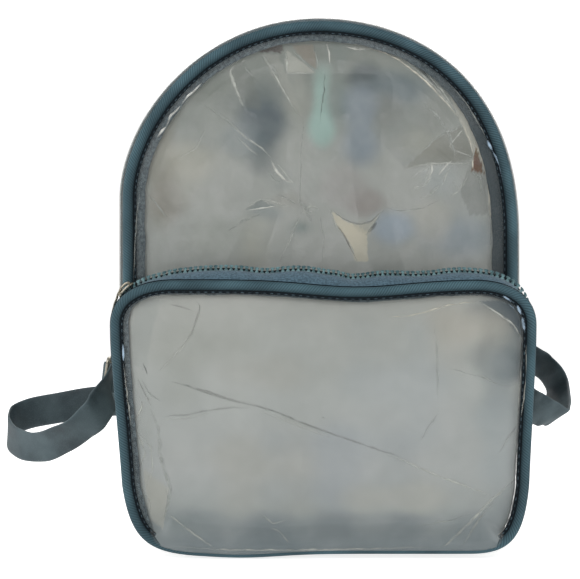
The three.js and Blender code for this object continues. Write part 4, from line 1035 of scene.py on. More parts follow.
pocketFilm = {
    "stations": 560, "rings": 110, "inset": {"top": 7.8, "left": 9.6, "right": 7.4, "base": 5.4},
    "wall": 8.2, "behind": 2.9, "scallop": 0.9, "swell": 2.4, "depth": 18, "bulge": 4.8, "over": 1,
    "seed": 23, "viewPlane": -74, "contrast": 1.2, "foldShare": 1.1, "rim": 0.5,
    "base": [
        (300, (171, 173, 167)), (380, (172, 176, 172)), (470, (168, 172, 170)), (505, (154, 160, 158)),
        (555, (110, 122, 126)),
    ],
    "patches": [
        (320, 545, 300, 26, (98, 111, 116), 0.75), (522, 316, 40, 40, (66, 78, 86), 0.95),
        (500, 355, 40, 52, (112, 121, 120), 0.75), (512, 367, 20, 20, (96, 107, 110), 0.75),
        (468, 334, 44, 36, (172, 170, 160), 0.75), (140, 440, 14, 60, (160, 166, 164), 0.4),
        (260, 470, 70, 44, (165, 166, 159), 0.6), (345, 465, 70, 50, (152, 159, 163), 0.6),
        (436, 430, 80, 60, (169, 173, 171), 0.6), (400, 496, 60, 20, (170, 171, 163), 0.6),
        (190, 350, 60, 50, (160, 163, 156), 0.6), (330, 360, 90, 50, (166, 169, 164), 0.6),
        (400, 390, 60, 60, (162, 169, 170), 0.5), (500, 430, 30, 70, (150, 160, 162), 0.5),
        (186, 526, 30, 18, (128, 138, 138), 0.6), (510, 522, 26, 22, (122, 131, 132), 0.7),
        (150, 300, 30, 14, (146, 151, 146), 0.5), (268, 372, 40, 26, (168, 169, 162), 0.5),
    ],
    "facets": [
        ([(142, 470), (152, 478), (168, 490), (163, 530), (150, 522), (146, 500)], (168, 169, 160), 0.75),
        ([(131, 325), (138, 300), (160, 300), (150, 340), (146, 372), (133, 366)], (152, 158, 154), 0.5),
        ([(142, 405), (131, 428), (137, 450), (150, 440), (156, 414)], (166, 170, 166), 0.6),
        ([(481, 302), (508, 320), (523, 340), (526, 318), (510, 300)], (88, 98, 103), 0.7),
        ([(516, 481), (492, 502), (468, 526), (443, 548), (486, 550), (510, 530)], (128, 138, 140), 0.45),
    ],
    "gaps": [],
    "folds": [
        ("soft", 3.8, 0.58, [(171, 382), (186, 386), (202, 391.6), (232.5, 400.8), (255.4, 406), (275, 412)]),
        ("soft", 2.8, 0.58, [(255, 406), (275, 412), (301, 423), (350, 441), (361, 445)]),
        ("pale", 5, 0.3, [(262, 412), (290, 422), (330, 438)]),
        ("soft", 2.8, 0.48, [(340, 436), (361, 444), (401, 458)]),
        ("pale", 2.6, 0.8, [(385, 455), (401, 460), (441.5, 478), (492, 497)]),
        ("soft", 2.8, 0.36, [(160, 417), (186, 416), (209, 411), (232, 408), (248, 409)]),
        ("pale", 2.6, 0.3, [(162, 420), (186, 419), (210, 414)]),
        ("cream", 2, 0.8, [(388, 318), (413, 316), (431, 311), (451, 305), (478, 302)]),
        ("pale", 2.5, 0.9, [(481, 302), (494, 311), (508, 320), (516, 327), (523, 340), (525.6, 346)]),
        ("pale", 2, 0.8, [(525.6, 346), (522, 376), (520, 402), (519, 422)]),
        ("grey", 2.2, 0.5, [(450, 369), (480, 377), (500, 385), (512, 387)]),
        ("grey", 3.6, 0.4, [(435, 330), (437, 345), (438, 380), (438, 400)]),
        ("soft", 2.5, 0.42, [(195.7, 300.5), (199.5, 306.6), (197, 316), (192.7, 331), (183.5, 345)]),
        ("pale", 2.4, 0.5, [(198, 303), (200, 309), (196, 325), (186, 343), (172, 358), (157.5, 372.5)]),
        ("soft", 2.5, 0.36, [(169.7, 305), (182, 308), (192.7, 311)]),
        ("pale", 2, 0.8, [(139, 397), (142, 404.6), (131.4, 427.6)]),
        ("pale", 2.4, 0.7, [(145, 395), (151, 407.7)]),
        ("pale", 1.9, 0.7, [(142, 404), (136, 433.7), (145, 453.6), (136, 476.5)]),
        ("pale", 1.8, 0.6, [(136, 433), (150, 448), (152, 470), (144, 492)]),
        ("grey", 5, 0.5, [(150, 410), (158, 430), (160, 460), (170, 490), (166, 515)]),
        ("pale", 1.6, 0.7, [(131, 455), (137, 470), (134, 485)]),
        ("pale", 1.7, 0.6, [(138, 485), (150, 505), (148, 520)]),
        ("grey", 2.8, 0.6, [(165, 490), (168, 500), (163, 520)]),
        ("pale", 2.3, 0.6, [(165.5, 514), (190, 532), (214, 548)]),
        ("pale", 1.9, 0.5, [(262, 516), (273, 525), (286, 521)]),
        ("pale", 1.9, 0.5, [(270, 529), (281, 533), (289, 544)]),
        ("pale", 3.6, 0.6, [(516.5, 481), (492, 502), (468, 526), (441, 548)]),
        ("grey", 2.6, 0.5, [(498, 500), (480, 520), (462, 545)]),
        ("pale", 1.7, 0.6, [(516, 516), (508, 530), (495, 538)]),
        ("pale", 1.7, 0.6, [(520, 500), (517, 520), (506, 538)]),
        ("grey", 2, 0.5, [(420, 527), (450, 522), (470, 515)]),
        ("pale", 2.2, 0.6, [(170, 546), (230, 550), (330, 550), (430, 547)]),
        ("dark", 2, 0.5, [(142, 363), (145, 370), (147, 376)]),
        ("soft", 2, 0.52, [(137, 380), (146, 398), (154, 404)]),
        ("grey", 2.4, 0.5, [(141, 380), (150, 396), (160, 402)]),
        ("grey", 3, 0.35, [(520, 425), (508, 440), (500, 455)]),
        ("grey", 2.4, 0.4, [(440, 412), (428, 428), (420, 442)]),
    ],
    "glints": [
        ("blue", 2.6, 1, [(122, 345), (122.4, 353), (122.6, 362)]),
        ("pale", 1.8, 0.75, [(123, 363), (125.3, 388), (130, 426)]),
        ("blue", 3, 1, [(504, 297), (509, 299), (513, 302)]),
        ("blue", 3.6, 1, [(518, 306), (520, 310), (522, 315)]),
        ("blue", 4.2, 1, [(523, 318), (524.5, 324), (525.5, 331)]),
        ("blue", 1.7, 0.6, [(510, 305), (516, 309)]),
        ("pale", 1.9, 0.75, [(527, 346), (528, 376.5), (524.5, 402), (522, 418)]),
    ],
}


def inside(x, z, corners):  # 1 where a point lies within a shape with these corners
    within = np.zeros(x.shape, bool)
    for (ax, az), (bx, bz) in zip(corners, [*corners[1:], corners[0]]):
        if az == bz:
            continue
        crosses = (az > z) != (bz > z)
        within ^= crosses & (x < (bx - ax) * (z - az) / (bz - az) + ax)
    return within


def tintAt(x, z, look):  # the film's tint at each point, from its base, patches and flats, where the flats add painted light and shade
    scale = camera["focalPixels"] / (look["viewPlane"] - camera["place"][1])
    px = camera["middle"] + (x - camera["place"][0]) * scale
    py = camera["middle"] - (z - camera["place"][2]) * scale
    levels = np.array([srgb(*c) for _, c in look["base"]])
    level = np.stack([np.interp(py, [row for row, _ in look["base"]], levels[:, k]) for k in range(3)], -1)
    tint = level.copy()

    def cover(colour, share):
        tint[:] = tint * (1 - share[..., None]) + np.array(srgb(*colour)) * share[..., None]

    for middleX, middleZ, wide, high, colour, share in look["patches"]:
        wander = 0.16 * np.sin(px * 0.09 + middleX) + 0.16 * np.sin(py * 0.11 + middleZ)
        away = np.hypot((px - middleX) / (1.25 * wide), (py - middleZ) / (1.25 * high)) + wander
        cover(colour, share * (1 - smoothStep(0.15, 1, away)))
    # painted light and shade: each flat between creases gets its own lighter or darker tint
    for corners, colour, share in look["facets"]:
        middle = np.mean(corners, axis=0)
        fade = 1 - 0.35 * np.clip(np.hypot(px - middle[0], py - middle[1]) / 40, 0, 1)
        cover(colour, share * fade * inside(px, py, corners))
    tint = np.maximum(0.01, level + (tint - level) * look["contrast"])
    for corners, colour, share in look["gaps"]:
        cover(colour, share * inside(px, py, corners).astype(float))
    return tint


creaseLook = {
    "step": 0.9, "wave": 0.22, "sway": 0.5, "wider": 0.35, "proud": 0.12, "ridge": 0.25, "plain": 0.85,
    "faded": 0.6, "section": [(-1, 0, 0), (-0.5, 0.5, 0.75), (0, 1, 1), (0.5, 0.5, 0.75), (1, 0, 0)],
}


def addPaintedRidges(name, folds, viewPlane, depthAt, material, seed):  # thin tapered ridges along the creases, carrying painted highlights and shade
    random.seed(seed)
    ridges = Gathered()
    tint, strength = [], []
    profile = np.array(creaseLook["section"])
    scale = camera["focalPixels"] / (viewPlane - camera["place"][1])
    for shade, wide, share, line in folds:
        corners = np.array([fromPhoto(px, py, viewPlane) for px, py in line])
        length = np.concatenate([[0], np.cumsum(np.linalg.norm(np.diff(corners, axis=0), axis=1))])
        count = max(8, int(length[-1] / creaseLook["step"]))
        at = np.linspace(0, length[-1], count)
        middle = np.stack([np.interp(at, length, corners[:, k]) for k in (0, 1)], -1)
        for _ in range(2):
            middle[1:-1] = 0.25 * middle[:-2] + 0.5 * middle[1:-1] + 0.25 * middle[2:]
        ahead = np.gradient(middle, axis=0)
        ahead /= np.linalg.norm(ahead, axis=1, keepdims=True)
        across = np.stack([-ahead[:, 1], ahead[:, 0]], -1)
        phase = random.uniform(0, 20)
        waver = np.array([noise.noise(Vector((a * creaseLook["wave"], phase, 2))) for a in at])
        middle += across * waver[:, None] * creaseLook["sway"]
        taper = np.sin(math.pi * np.linspace(0.03, 0.97, count)) ** 0.5
        half = wide / scale / 2 * taper * (1 + creaseLook["wider"] * waver)
        x = middle[:, :1] + across[:, :1] * profile[None, :, 0] * half[:, None]
        z = middle[:, 1:] + across[:, 1:] * profile[None, :, 0] * half[:, None]
        rise = creaseLook["ridge"] * half[:, None] * profile[None, :, 1]
        depth = depthAt(x, z) - creaseLook["proud"] - rise
        ridges.addRows(np.stack([x, depth, z], -1), closeAcross=False, caps=False)
        fading = np.clip(share * taper * (creaseLook["plain"] + creaseLook["faded"] * waver), 0, 1)
        strength += list((fading[:, None] * profile[None, :, 2]).ravel())
        tint += [paintedTones[shade]] * (count * len(profile))
    ridges.piece(
        name, material, "crumpled_film" if material == "fold" else "clear_vinyl",
        paint={"tint": tint, "strength": strength},
    )


filmLook = {
    "wallRings": 18, "blend": 0.12, "deepest": 4.5, "overlap": 1.1, "ripple": 0.9, "shaded": 0.6,
    "waves": [(0.011, 0.008, 1.6), (0.026, 0.02, 0.8), (0.06, 0.05, 0.35)], "glintLift": 1.1,
}


def addFilm(name, look, outline, plane, radius, centre, material, replaced):
    stations, seed = look["stations"], look["seed"]
    points, normals = outline.frames(np.arange(stations) / stations)
    scallop = np.array([
        noise.noise(Vector((x * 0.045, z * 0.045, seed)))
        + 0.5 * noise.noise(Vector((x * 0.16, z * 0.16, seed + 5)))
        + 0.35 * noise.noise(Vector((x * 0.5, z * 0.5, seed + 9)))
        for x, z in points
    ])
    low = smoothStep(0.6, 0.98, -normals[:, 1]) * look["over"]
    inset = (
        widthRound(normals, look["inset"]) + look["scallop"] * scallop * (1 - low)
        - low * radius * filmLook["overlap"]
    )
    flat, share = ringRows(outline, stations, look["rings"], inset, centre)
    x, z = flat[..., 0], flat[..., 1]
    soft = np.zeros_like(x)
    for a, b, amount in filmLook["waves"]:
        soft += amount * np.array([
            abs(noise.noise(Vector((p * a + q * b * 0.4, q * b - p * a * 0.3, seed + amount))))
            for p, q in zip(x.ravel(), z.ravel())
        ]).reshape(x.shape)
    rim = smoothStep(1, 0.9, share)[:, None]
    sagging = low[None] * (look["behind"] + radius + 0.2) * smoothStep(0.8, 0.96, share)[:, None]
    swell = look["bulge"] * (1 - share[:, None] ** 3) + rim * (soft - 0.55) * look["swell"] * 0.5
    depth = plane(z) + look["behind"] - swell - sagging
    depth = np.minimum(depth, plane(z) + look["behind"] + filmLook["deepest"])
    face = np.stack([x, depth, z], -1)
    back = []
    for q in np.linspace(0, 1, filmLook["wallRings"])[1:]:
        turned = smoothStep(0, filmLook["blend"], q)
        way = mix(inset, np.maximum(look["wall"], inset), turned)
        edge = points - normals * (way + low * radius * filmLook["overlap"] * turned)[:, None]
        ripple = np.array([noise.noise(Vector((a * 0.06, b * 0.06, seed + q * 1.5))) for a, b in points])
        edge = edge - normals * (filmLook["ripple"] * np.maximum(0, ripple))[:, None]
        start = depth[-1] + (plane(edge[:, 1]) + look["behind"] - depth[-1]) * turned
        back.append(np.stack([edge[:, 0], start + look["depth"] * q, edge[:, 1]], -1))
    rows = np.concatenate([face, np.array(back)], 0)
    tint = tintAt(rows[..., 0], rows[..., 2], look)
    # painted highlight: the outer rings pale towards grey along the film's rim; painted shade then darkens
    # the turned-back wall rows
    glow = (0.55 + 0.35 * np.clip(scallop, -1, 1)) * (1 - low)
    for ring, share in ((-1, 1), (-2, 0.5)):
        edge = tint[look["rings"] + ring]
        edge += (np.array(paintedTones["grey"]) - edge) * (glow * share * look["rim"])[:, None]
    tint[look["rings"]:] *= filmLook["shaded"]
    faces = gridFaces(rows.shape[0], stations, False, True)[1].tolist()
    film = addPiece(
        name, rows.reshape(-1, 3), faces, material, replaced, None,
        {"tint": tint.reshape(-1, 3)},
    )
    around = 2 * look["depth"] / 1000
    width, length = (np.ptp(rows[..., k]) / 1000 + around for k in (0, 2))
    min(measured(film), float(width * length))
    tree = kdtree.KDTree(x.size)
    for k, (a, b) in enumerate(zip(x.ravel(), z.ravel())):
        tree.insert((a, b, 0), k)
    tree.balance()
    depths = depth.ravel()

    def depthAt(px, pz):
        nearest = [depths[tree.find((a, b, 0))[1]] for a, b in zip(px.ravel(), pz.ravel())]
        return np.array(nearest).reshape(px.shape)

    folds = [(shade, wide, share * look["foldShare"], line) for shade, wide, share, line in look["folds"]]
    addPaintedRidges(name.replace("loose_film", "film_fold_shading"), folds, look["viewPlane"], depthAt, "fold", seed)
    addPaintedRidges(
        name.replace("loose_film", "vinyl_glints"), look["glints"], look["viewPlane"] - look["behind"],
        lambda px, pz: plane(pz) - filmLook["glintLift"], "glint", seed + 1,
    )


addFilm(
    "body_loose_film", bodyFilm, bodyOutline, frontPlane, body["piping"], bodyCentre, "bodyFilm",
    ["body_film"],
)
addFilm(
    "pocket_loose_film", pocketFilm, pocketOutline, pocketPlane, pocket["piping"], pocketCentre, "pocketFilm",
    ["pocket_film"],
)
print("films made")


# straps
strap = {
    "width": 20.5, "thickness": 1.6, "spacing": 60, "padThickness": 3, "wire": 3, "sliderThickness": 2.2,
    "slot": 5.4, "play": 0.6, "endInset": 3, "tail": 5, "lead": 4, "steps": 10,
}
yoke = {"width": 96, "height": 26, "drop": 18}
anchor = {"width": 18, "height": 27, "clearance": 1.2, "reach": 0.3}
# rows of place, as shares of half the width, half the depth and the height, and of width direction
straps = {
    "left": {
        "side": -1, "rise": 0.255, "slider": (-1.149, 0.35, 0.306), "across": (-0.13, 0, -0.99),
        "upper": [
            (-0.265, 1.09, 0.8, 1, 0, 0), (-0.3, 1.3, 0.68, 1, 0, -0.15), (-0.41, 1.5, 0.56, 0.92, 0, -0.38),
            (-0.58, 1.58, 0.455, 0.75, 0.1, -0.65), (-0.81, 1.6, 0.375, 0.5, 0.1, -0.86),
            (-1.035, 1.38, 0.33, 0.2, 0.1, -0.98), (-1.14, 0.92, 0.31, -0.1, 0, -0.99),
        ],
        "lower": [
            (-1.15, -0.2, 0.262, 0.1, -0.2, -0.97), (-1.185, -0.3, 0.239, 0.3, 0.3, -0.9),
            (-1.272, -0.25, 0.21, 0.36, 0.6, -0.7), (-1.391, -0.05, 0.185, 0.24, 0.5, -0.82),
            (-1.511, 0.225, 0.167, 0.15, 0.35, -0.92), (-1.648, 0.55, 0.17, 0.06, 0.1, -1),
            (-1.734, 0.95, 0.187, -0.03, 0, -1), (-1.73, 1.25, 0.206, -0.09, 0, -1),
            (-1.653, 1.45, 0.219, -0.19, 0, -0.98), (-1.483, 1.53, 0.231, -0.2, 0, -0.98),
            (-1.308, 1.48, 0.243, -0.2, 0, -0.98), (-1.141, 1.33, 0.249, -0.13, 0, -0.99),
        ],
    },
    "right": {
        "side": 1, "rise": 0.343, "slider": (1.101, 0.35, 0.273), "across": (0, 0, -1),
        "upper": [
            (0.265, 1.09, 0.8, -1, 0, 0), (0.3, 1.3, 0.68, -1, 0, -0.15), (0.39, 1.5, 0.55, -0.92, 0, -0.38),
            (0.52, 1.62, 0.435, -0.75, 0.1, -0.65), (0.74, 1.66, 0.325, -0.5, 0.1, -0.86),
            (0.99, 1.42, 0.275, -0.2, 0.1, -0.98), (1.09, 0.92, 0.272, 0, 0, -1),
        ],
        "lower": [
            (1.121, -0.15, 0.255, 0, 0, -1), (1.193, -0.1, 0.24, -0.2, 0.5, -0.84),
            (1.267, 0.1, 0.229, -0.46, 0.73, -0.5), (1.297, 0.33, 0.236, -0.58, 0.6, -0.55),
            (1.315, 0.6, 0.247, -0.66, 0.43, -0.61), (1.343, 1.05, 0.269, -0.62, 0.45, -0.64),
            (1.348, 1.35, 0.295, -0.44, 0.65, -0.62), (1.306, 1.5, 0.318, -0.33, 0.62, -0.71),
            (1.252, 1.48, 0.329, -0.2, 0.45, -0.87), (1.139, 1.38, 0.345, -0.1, 0, -1),
        ],
    },
}

padOuter = bodyBack + trim["sheet"] / 2 + trim["gap"] + strap["padThickness"]
sewnDepth = padOuter + trim["gap"] + strap["thickness"] / 2
sliderStep = strap["wire"] + strap["slot"]
sliderHump = math.hypot(strap["wire"], strap["sliderThickness"]) / 2 + trim["gap"] + strap["thickness"] / 2
anchorX = body["width"] / 2 - body["taper"] - 2 * body["piping"] - anchor["clearance"] - anchor["width"] / 2


def unit(vector):
    return np.array(vector, float) / np.linalg.norm(vector)


def strapRow(row):
    place = np.array([row[0] * body["width"] / 2, row[1] * body["depth"] / 2, row[2] * body["height"]])
    return place, np.array(row[3:], float)


def sliderAxes(one):  # middle, across, along to the loop, and out from the bag
    place = strapRow((*one["slider"], 0, 0, 0))[0]
    across, along = unit(one["across"]), np.array([0.0, -1.0, 0.0])
    return place, across, along, np.cross(along, across) * one["side"]


def sliderRow(axes, along, out):
    return axes[0] + axes[2] * along + axes[3] * out, axes[1]


def throughRows(rows):  # a smooth curve through the rows' places, and the width directions on it
    points = [r[0] for r in rows]
    last = len(points) - 1
    places, widths = [], []
    for k in range(last):
        before = points[k - 1] if k else 2 * points[0] - points[1]
        after = points[k + 2] if k + 2 <= last else 2 * points[last] - points[last - 1]
        a, b, c, d = before, points[k], points[k + 1], after
        ta, tb, tc = [max(np.linalg.norm(q - p), 1e-3) ** 0.5 for p, q in ((a, b), (b, c), (c, d))]
        slopeB = ((b - a) / ta - (c - a) / (ta + tb) + (c - b) / tb) * tb
        slopeC = ((c - b) / tb - (d - b) / (tb + tc) + (d - c) / tc) * tb
        for step in range(strap["steps"] + (k == last - 1)):
            t = step / strap["steps"]
            places.append(
                b + slopeB * t + (3 * (c - b) - 2 * slopeB - slopeC) * t ** 2
                + (2 * (b - c) + slopeB + slopeC) * t ** 3
            )
            share = t * t * (3 - 2 * t)
            widths.append(rows[k][1] * (1 - share) + rows[k + 1][1] * share)
    return np.array(places), np.array(widths)


def ribbonRows(rows, wave):
    places, widths = throughRows(rows)
    ahead = np.gradient(places, axis=0)
    ahead /= np.linalg.norm(ahead, axis=1, keepdims=True)
    across = widths - ahead * np.sum(widths * ahead, axis=1, keepdims=True)
    across /= np.linalg.norm(across, axis=1, keepdims=True)
    out = np.cross(ahead, across)
    halfWidth, halfThick = strap["width"] / 2, strap["thickness"] / 2
    section = []
    for side in (-1, 1):
        section += [(a * side, -side) for a in np.linspace(-1, 1, 15)[1:-1]]
        section += [(side, b * side) for b in (-0.55, 0, 0.55)]
    loops = []
    length = np.concatenate([[0], np.cumsum(np.linalg.norm(np.diff(places, axis=0), axis=1))])
    for place, wide, up, at in zip(places, across, out, length):
        ripple = wave * noise.noise(Vector((at * 0.045, 3.3, wave)))
        loop = []
        for a, b in section:
            edge = 1 - 0.28 * abs(a) ** 12
            cup = ripple * (a * a - 0.4)
            loop.append(place + wide * a * (halfWidth - 0.15) + up * (b * halfThick * edge + cup))
        loops.append(loop)
    return np.array(loops)


def upperRows(one):
    axes = sliderAxes(one)
    x, width = one["side"] * strap["spacing"] / 2, np.array([-one["side"], 0, 0.0])
    top = body["height"] - yoke["drop"]
    fold = [
        sliderRow(axes, -sliderStep + sliderHump * math.cos(turn), sliderHump * math.sin(turn))
        for turn in np.radians([-90, -45, 0, 45, 90])
    ]
    return [
        (np.array([x, sewnDepth, top - strap["endInset"]]), width),
        (np.array([x, sewnDepth, top - yoke["height"]]), width),
        *[strapRow(row) for row in one["upper"]],
        sliderRow(axes, -sliderStep - strap["tail"], -sliderHump),
        *fold,
        sliderRow(axes, -sliderStep - strap["tail"], sliderHump),
    ]


def lowerRows(one):
    axes = sliderAxes(one)
    sewn = [
        (np.array([one["side"] * x, sewnDepth, one["rise"] * body["height"]]), np.array([0, 0, -1.0]))
        for x in (anchorX + anchor["width"] / 2, anchorX - anchor["width"] * anchor["reach"])
    ]
    return [
        sliderRow(axes, -sliderStep * 0.3, sliderHump * 0.6), sliderRow(axes, 0, sliderHump),
        sliderRow(axes, sliderStep / 2, 0), sliderRow(axes, sliderStep, -sliderHump),
        sliderRow(axes, sliderStep + strap["lead"], -sliderHump),
        *[strapRow(row) for row in one["lower"]], *sewn,
    ]


def roundedSquare(turn, power):
    c, s = math.cos(turn), math.sin(turn)
    return math.copysign(abs(c) ** power, c), math.copysign(abs(s) ** power, s)


def addStrapSlider(name, one, replaced):  # a flat metal slider with rounded bars
    place, across, along, out = sliderAxes(one)
    halfSpan = strap["width"] / 2 + strap["play"] + strap["wire"] / 2
    halfLength, corner = sliderStep, 2.6
    path = []
    for a, b, turn in ((1, 1, 0), (-1, 1, 90), (-1, -1, 180), (1, -1, 270)):
        for angle in np.radians(np.linspace(turn, turn + 90, 9)):
            path.append((
                a * (halfSpan - corner) + corner * math.cos(angle),
                b * (halfLength - corner) + corner * math.sin(angle),
            ))
    path = np.array(path)
    metal = Gathered()
    sides = 14
    turns = np.arange(sides) * 2 * math.pi / sides
    shape = [roundedSquare(t, 0.7) for t in turns]

    def bar(points, closed):
        points = np.asarray(points, float)
        ahead = np.roll(points, -1, 0) - np.roll(points, 1, 0) if closed else np.gradient(points, axis=0)
        ahead /= np.linalg.norm(ahead, axis=1, keepdims=True)
        rows = []
        for (a, b), (da, db) in zip(points, ahead):
            rows.append([
                place + across * (a + db * u * strap["wire"] / 2) + along * (b - da * u * strap["wire"] / 2)
                + out * v * strap["sliderThickness"] / 2 for u, v in shape
            ])
        rows = np.array(rows)
        if closed:
            rows = np.concatenate([rows, rows[:1]], 0)
        metal.addRows(rows, caps=not closed)

    bar(path, True)
    bar([(a, 0) for a in np.linspace(-halfSpan, halfSpan, 12)], False)
    metal.piece(name, "nickel", "metal", replaced)


# a sewn pad, from the middle of its back over its edge to its face
def padRows(width, height, thickness, crown):
    angles = np.radians(np.arange(0, 360, 5))
    loops = []
    profile = [
        (1, 0), (0.35, 0), (0, 0.25), (0, 0.7), (0.18, 0.93), (0.5, 1), (1.2, 1.02), (2.6, 1.0),
        (5, 1 + crown),
    ]
    for inset, rise in profile:
        loop = []
        for t in angles:
            px, pz = roundedSquare(t, 0.28)
            loop.append((px * (width / 2 - inset), pz * (height / 2 - inset), rise * thickness))
        loops.append(loop)
    return np.array(loops)


def addPad(name, x, z, look, replaced):
    loops = padRows(look["width"], look["height"], strap["padThickness"], 0.08)
    base = padOuter - strap["padThickness"]
    rows = np.stack([x + loops[..., 0], base + loops[..., 2], z + loops[..., 1]], -1)
    middle = rows[-1].mean(0)
    inner = [middle + (rows[-1] - middle) * s for s in (0.66, 0.33, 0.02)]
    pad = gridPiece(
        name, np.concatenate([rows, np.array(inner)], 0), "strap", replaced, False, True, True,
    )


def boxStitches(name, boxes, depth):  # rows of stitches round each sewn box, with a cross in it
    stitches = Gathered()
    for x, z, width, height, cross in boxes:
        corners = [(-1, -1), (1, -1), (1, 1), (-1, 1), (-1, -1)]
        lines = list(zip(corners[:-1], corners[1:]))
        if cross:
            lines += [((-1, -1), (1, 1)), ((-1, 1), (1, -1))]
        for (a, b), (c, d) in lines:
            start = np.array([x + a * width / 2, z + b * height / 2])
            end = np.array([x + c * width / 2, z + d * height / 2])
            count = max(2, int(np.linalg.norm(end - start) / 3))
            for k in range(count):
                ends = [start + (end - start) * (k + q) / count for q in (0.16, 0.5, 0.84)]
                line = np.array([(p[0], depth + lift, p[1]) for p, lift in zip(ends, (-0.1, 0.16, -0.1))])
                stitches.addRows(tubeAlong(line, np.array([0.2, 0.32, 0.2]), 5))
    stitches.piece(name, "thread", "strap")


top = body["height"] - yoke["drop"]
addPad("yoke_pad", 0, top - yoke["height"] / 2, yoke, ["yoke"])
boxes = [(0, top - yoke["height"] / 2, yoke["width"] - 5, yoke["height"] - 5, False)]
sewnBoxes = []
for side, one in straps.items():
    for word, rows, wave in (("upper", upperRows(one), 0.5), ("lower", lowerRows(one), 0.7)):
        gridPiece(
            f"{word}_strap_web_{side}", ribbonRows(rows, wave), "strap", [f"{word}_strap_{side}"],
            False, True, True,
        )
    addStrapSlider(f"strap_glide_{side}", one, [f"strap_slider_{side}"])
    z = one["rise"] * body["height"]
    addPad(f"strap_pad_{side}", one["side"] * anchorX, z, anchor, [f"strap_anchor_{side}"])
    boxes.append((one["side"] * anchorX, z, anchor["width"] - 3.5, anchor["height"] - 3.5, False))
    sewnBoxes.append((one["side"] * strap["spacing"] / 2, top - yoke["height"] / 2 - 1, 14, 15, True))
    sewnBoxes.append((one["side"] * (anchorX + 2), z, 9, 15, True))
boxStitches("pad_stitches", boxes, padOuter + 0.25)
boxStitches("strap_stitches", sewnBoxes, sewnDepth + strap["thickness"] / 2)
print("straps made")


# zip sliders and their pulls
zipSlider = {  # along the zip, then half width, low and high side or height
    "bodyPlace": 34, "pocketPlace": 46, "lift": 1.6,
    "body": [
        (-5.2, 1.2, 0.4, 1.4), (-4.6, 2.4, 0.2, 1.9), (-3, 3.5, 0, 2.1), (0, 3.1, 0, 2.1),
        (2.6, 3.6, 0, 2.1), (4, 3.2, 0.1, 1.9), (4.6, 2, 0.4, 1.4),
    ],
    "bridge": [(-3.4, 1.9), (-3, 3.1), (-1.5, 3.7), (1, 3.7), (2.6, 3.1), (3, 1.9)],
    "pull": [
        (5.4, 1.1), (6.2, 1.9), (9, 2.1), (13, 2.6), (19, 3.3), (24, 3.5), (26.4, 3.1), (27.4, 1.8),
    ],
    "pullEdge": [
        (-1, -0.25), (-0.6, -0.45), (0, -0.4), (0.6, -0.45), (1, -0.25), (1, 0.25), (0.6, 0.45),
        (0, 0.3), (-0.6, 0.45), (-1, 0.25),
    ],
}


def addZipSlider(name, outline, wall, share, middle, direction, replaced):
    def at(along, across, lift):
        points, normals = outline.frames(np.array([share + direction * along / outline.total]))
        q = np.array([middle])
        depth, out = wall(points, normals, q)
        ahead = wall(points, normals, q + 0.01)
        slope = np.array([ahead[0][0, 0] - depth[0, 0], ahead[1][0, 0] - out[0, 0]])
        slope /= np.linalg.norm(slope)
        d = depth[0, 0] - slope[1] * lift + slope[0] * across
        o = out[0, 0] + slope[0] * lift + slope[1] * across
        return np.array([points[0, 0] + normals[0, 0] * o, d, points[0, 1] + normals[0, 1] * o])

    metal = Gathered()
    turns = np.arange(16) * 2 * math.pi / 16
    rows = []
    for along, half, low, high in zipSlider["body"]:
        rows.append([
            at(along, half * a, zipSlider["lift"] + (low + high) / 2 + (high - low) / 2 * b)
            for a, b in (roundedSquare(t, 0.6) for t in turns)
        ])
    metal.addRows(np.array(rows))
    bridge = [at(a, 0, zipSlider["lift"] + h) for a, h in zipSlider["bridge"]]
    metal.addRows(tubeAlong(bridge, 0.75, 8))
    ring = []
    for t in np.linspace(0, 2 * math.pi, 25):
        c, s = math.cos(t), math.sin(t)
        ring.append(at(3.4 + 2.6 * c, 1.9 * s, zipSlider["lift"] + 2.9 - 0.4 * c))
    metal.addRows(tubeAlong(ring, 0.42, 7))
    plate = []
    for along, half in zipSlider["pull"]:
        height = 2.3 - 0.045 * (along - 5)
        plate.append([
            at(along, half * a, zipSlider["lift"] + height + b)
            for a, b in zipSlider["pullEdge"]
        ])
    metal.addRows(np.array(plate))
    metal.piece(name, "nickel", "metal", replaced)


addZipSlider(
    "body_slider", bodyOutline, bodyWall, bodyZip[0] + zipSlider["bodyPlace"] / bodyOutline.total,
    sum(bodyStrips[2]) / 2, -1, ["zip_slider"],
)
addZipSlider(
    "pocket_slider", pocketOutline, pocketWall, pocketZip[1] - zipSlider["pocketPlace"] / pocketOutline.total,
    sum(pocketStrips[1]) / 2, 1, ["pocket_zip_slider"],
)
print("zip sliders made")


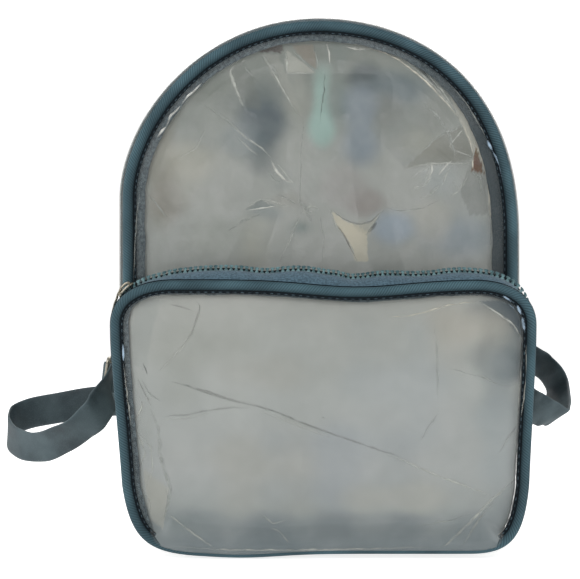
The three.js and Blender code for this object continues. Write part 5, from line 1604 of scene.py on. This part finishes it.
# light and surroundings
world = bpy.data.worlds.new("studio")
world.use_nodes = True
scene.world = world
background = world.node_tree.nodes["Background"]
background.inputs["Strength"].default_value = 0.36
lightPath = world.node_tree.nodes.new("ShaderNodeLightPath")
white = world.node_tree.nodes.new("ShaderNodeBackground")
white.inputs["Color"].default_value = (1, 1, 1, 1)
white.inputs["Strength"].default_value = 1.05
join = world.node_tree.nodes.new("ShaderNodeMixShader")
world.node_tree.links.new(lightPath.outputs["Is Camera Ray"], join.inputs[0])
world.node_tree.links.new(background.outputs[0], join.inputs[1])
world.node_tree.links.new(white.outputs[0], join.inputs[2])
world.node_tree.links.new(join.outputs[0], world.node_tree.nodes["World Output"].inputs[0])
background.inputs["Color"].default_value = (1, 1, 1, 1)


def addLight(name, place, aim, size, power, tint=(1, 1, 1)):
    data = bpy.data.lights.new(name, "AREA")
    data.shape = "RECTANGLE"
    data.size, data.size_y = size
    data.energy = power
    data.color = tint
    lamp = bpy.data.objects.new(name, data)
    lamp.location = place
    lamp.rotation_euler = (Vector(aim) - Vector(place)).to_track_quat("-Z", "Y").to_euler()
    scene.collection.objects.link(lamp)


addLight("key", (-0.7, -1.1, 1.15), (0, 0, 0.15), (0.9, 0.9), 8)
addLight("fill", (1.1, -0.8, 0.5), (0, 0, 0.15), (0.5, 1.1), 3.5)
addLight("back", (0.1, 1.2, 0.9), (0, 0, 0.15), (1.2, 0.8), 8)
addLight("side", (-1.2, 0.25, 0.45), (0, 0, 0.15), (0.4, 0.9), 3)

floorMesh = bpy.data.meshes.new("floor")
floorMesh.from_pydata(
    [(-4, -4, -0.0005), (4, -4, -0.0005), (4, 4, -0.0005), (-4, 4, -0.0005)], [], [(0, 1, 2, 3)],
)
floorMaterial, floorStart = startMaterial("paleFloor")
seen = floorStart.make("LightPath", None, None, "Is Camera Ray")
glow = seen.blend((0.35, 0.35, 0.35), (0.74, 0.74, 0.74))
finishMaterial(floorMaterial, floorStart, {
    "Base Color": (0.9, 0.9, 0.9, 1), "Roughness": 0.9, "Emission Color": glow, "Emission Strength": 1,
})
floorMesh.materials.append(floorMaterial)
floor = bpy.data.objects.new("floor", floorMesh)
scene.collection.objects.link(floor)
print("stage made")
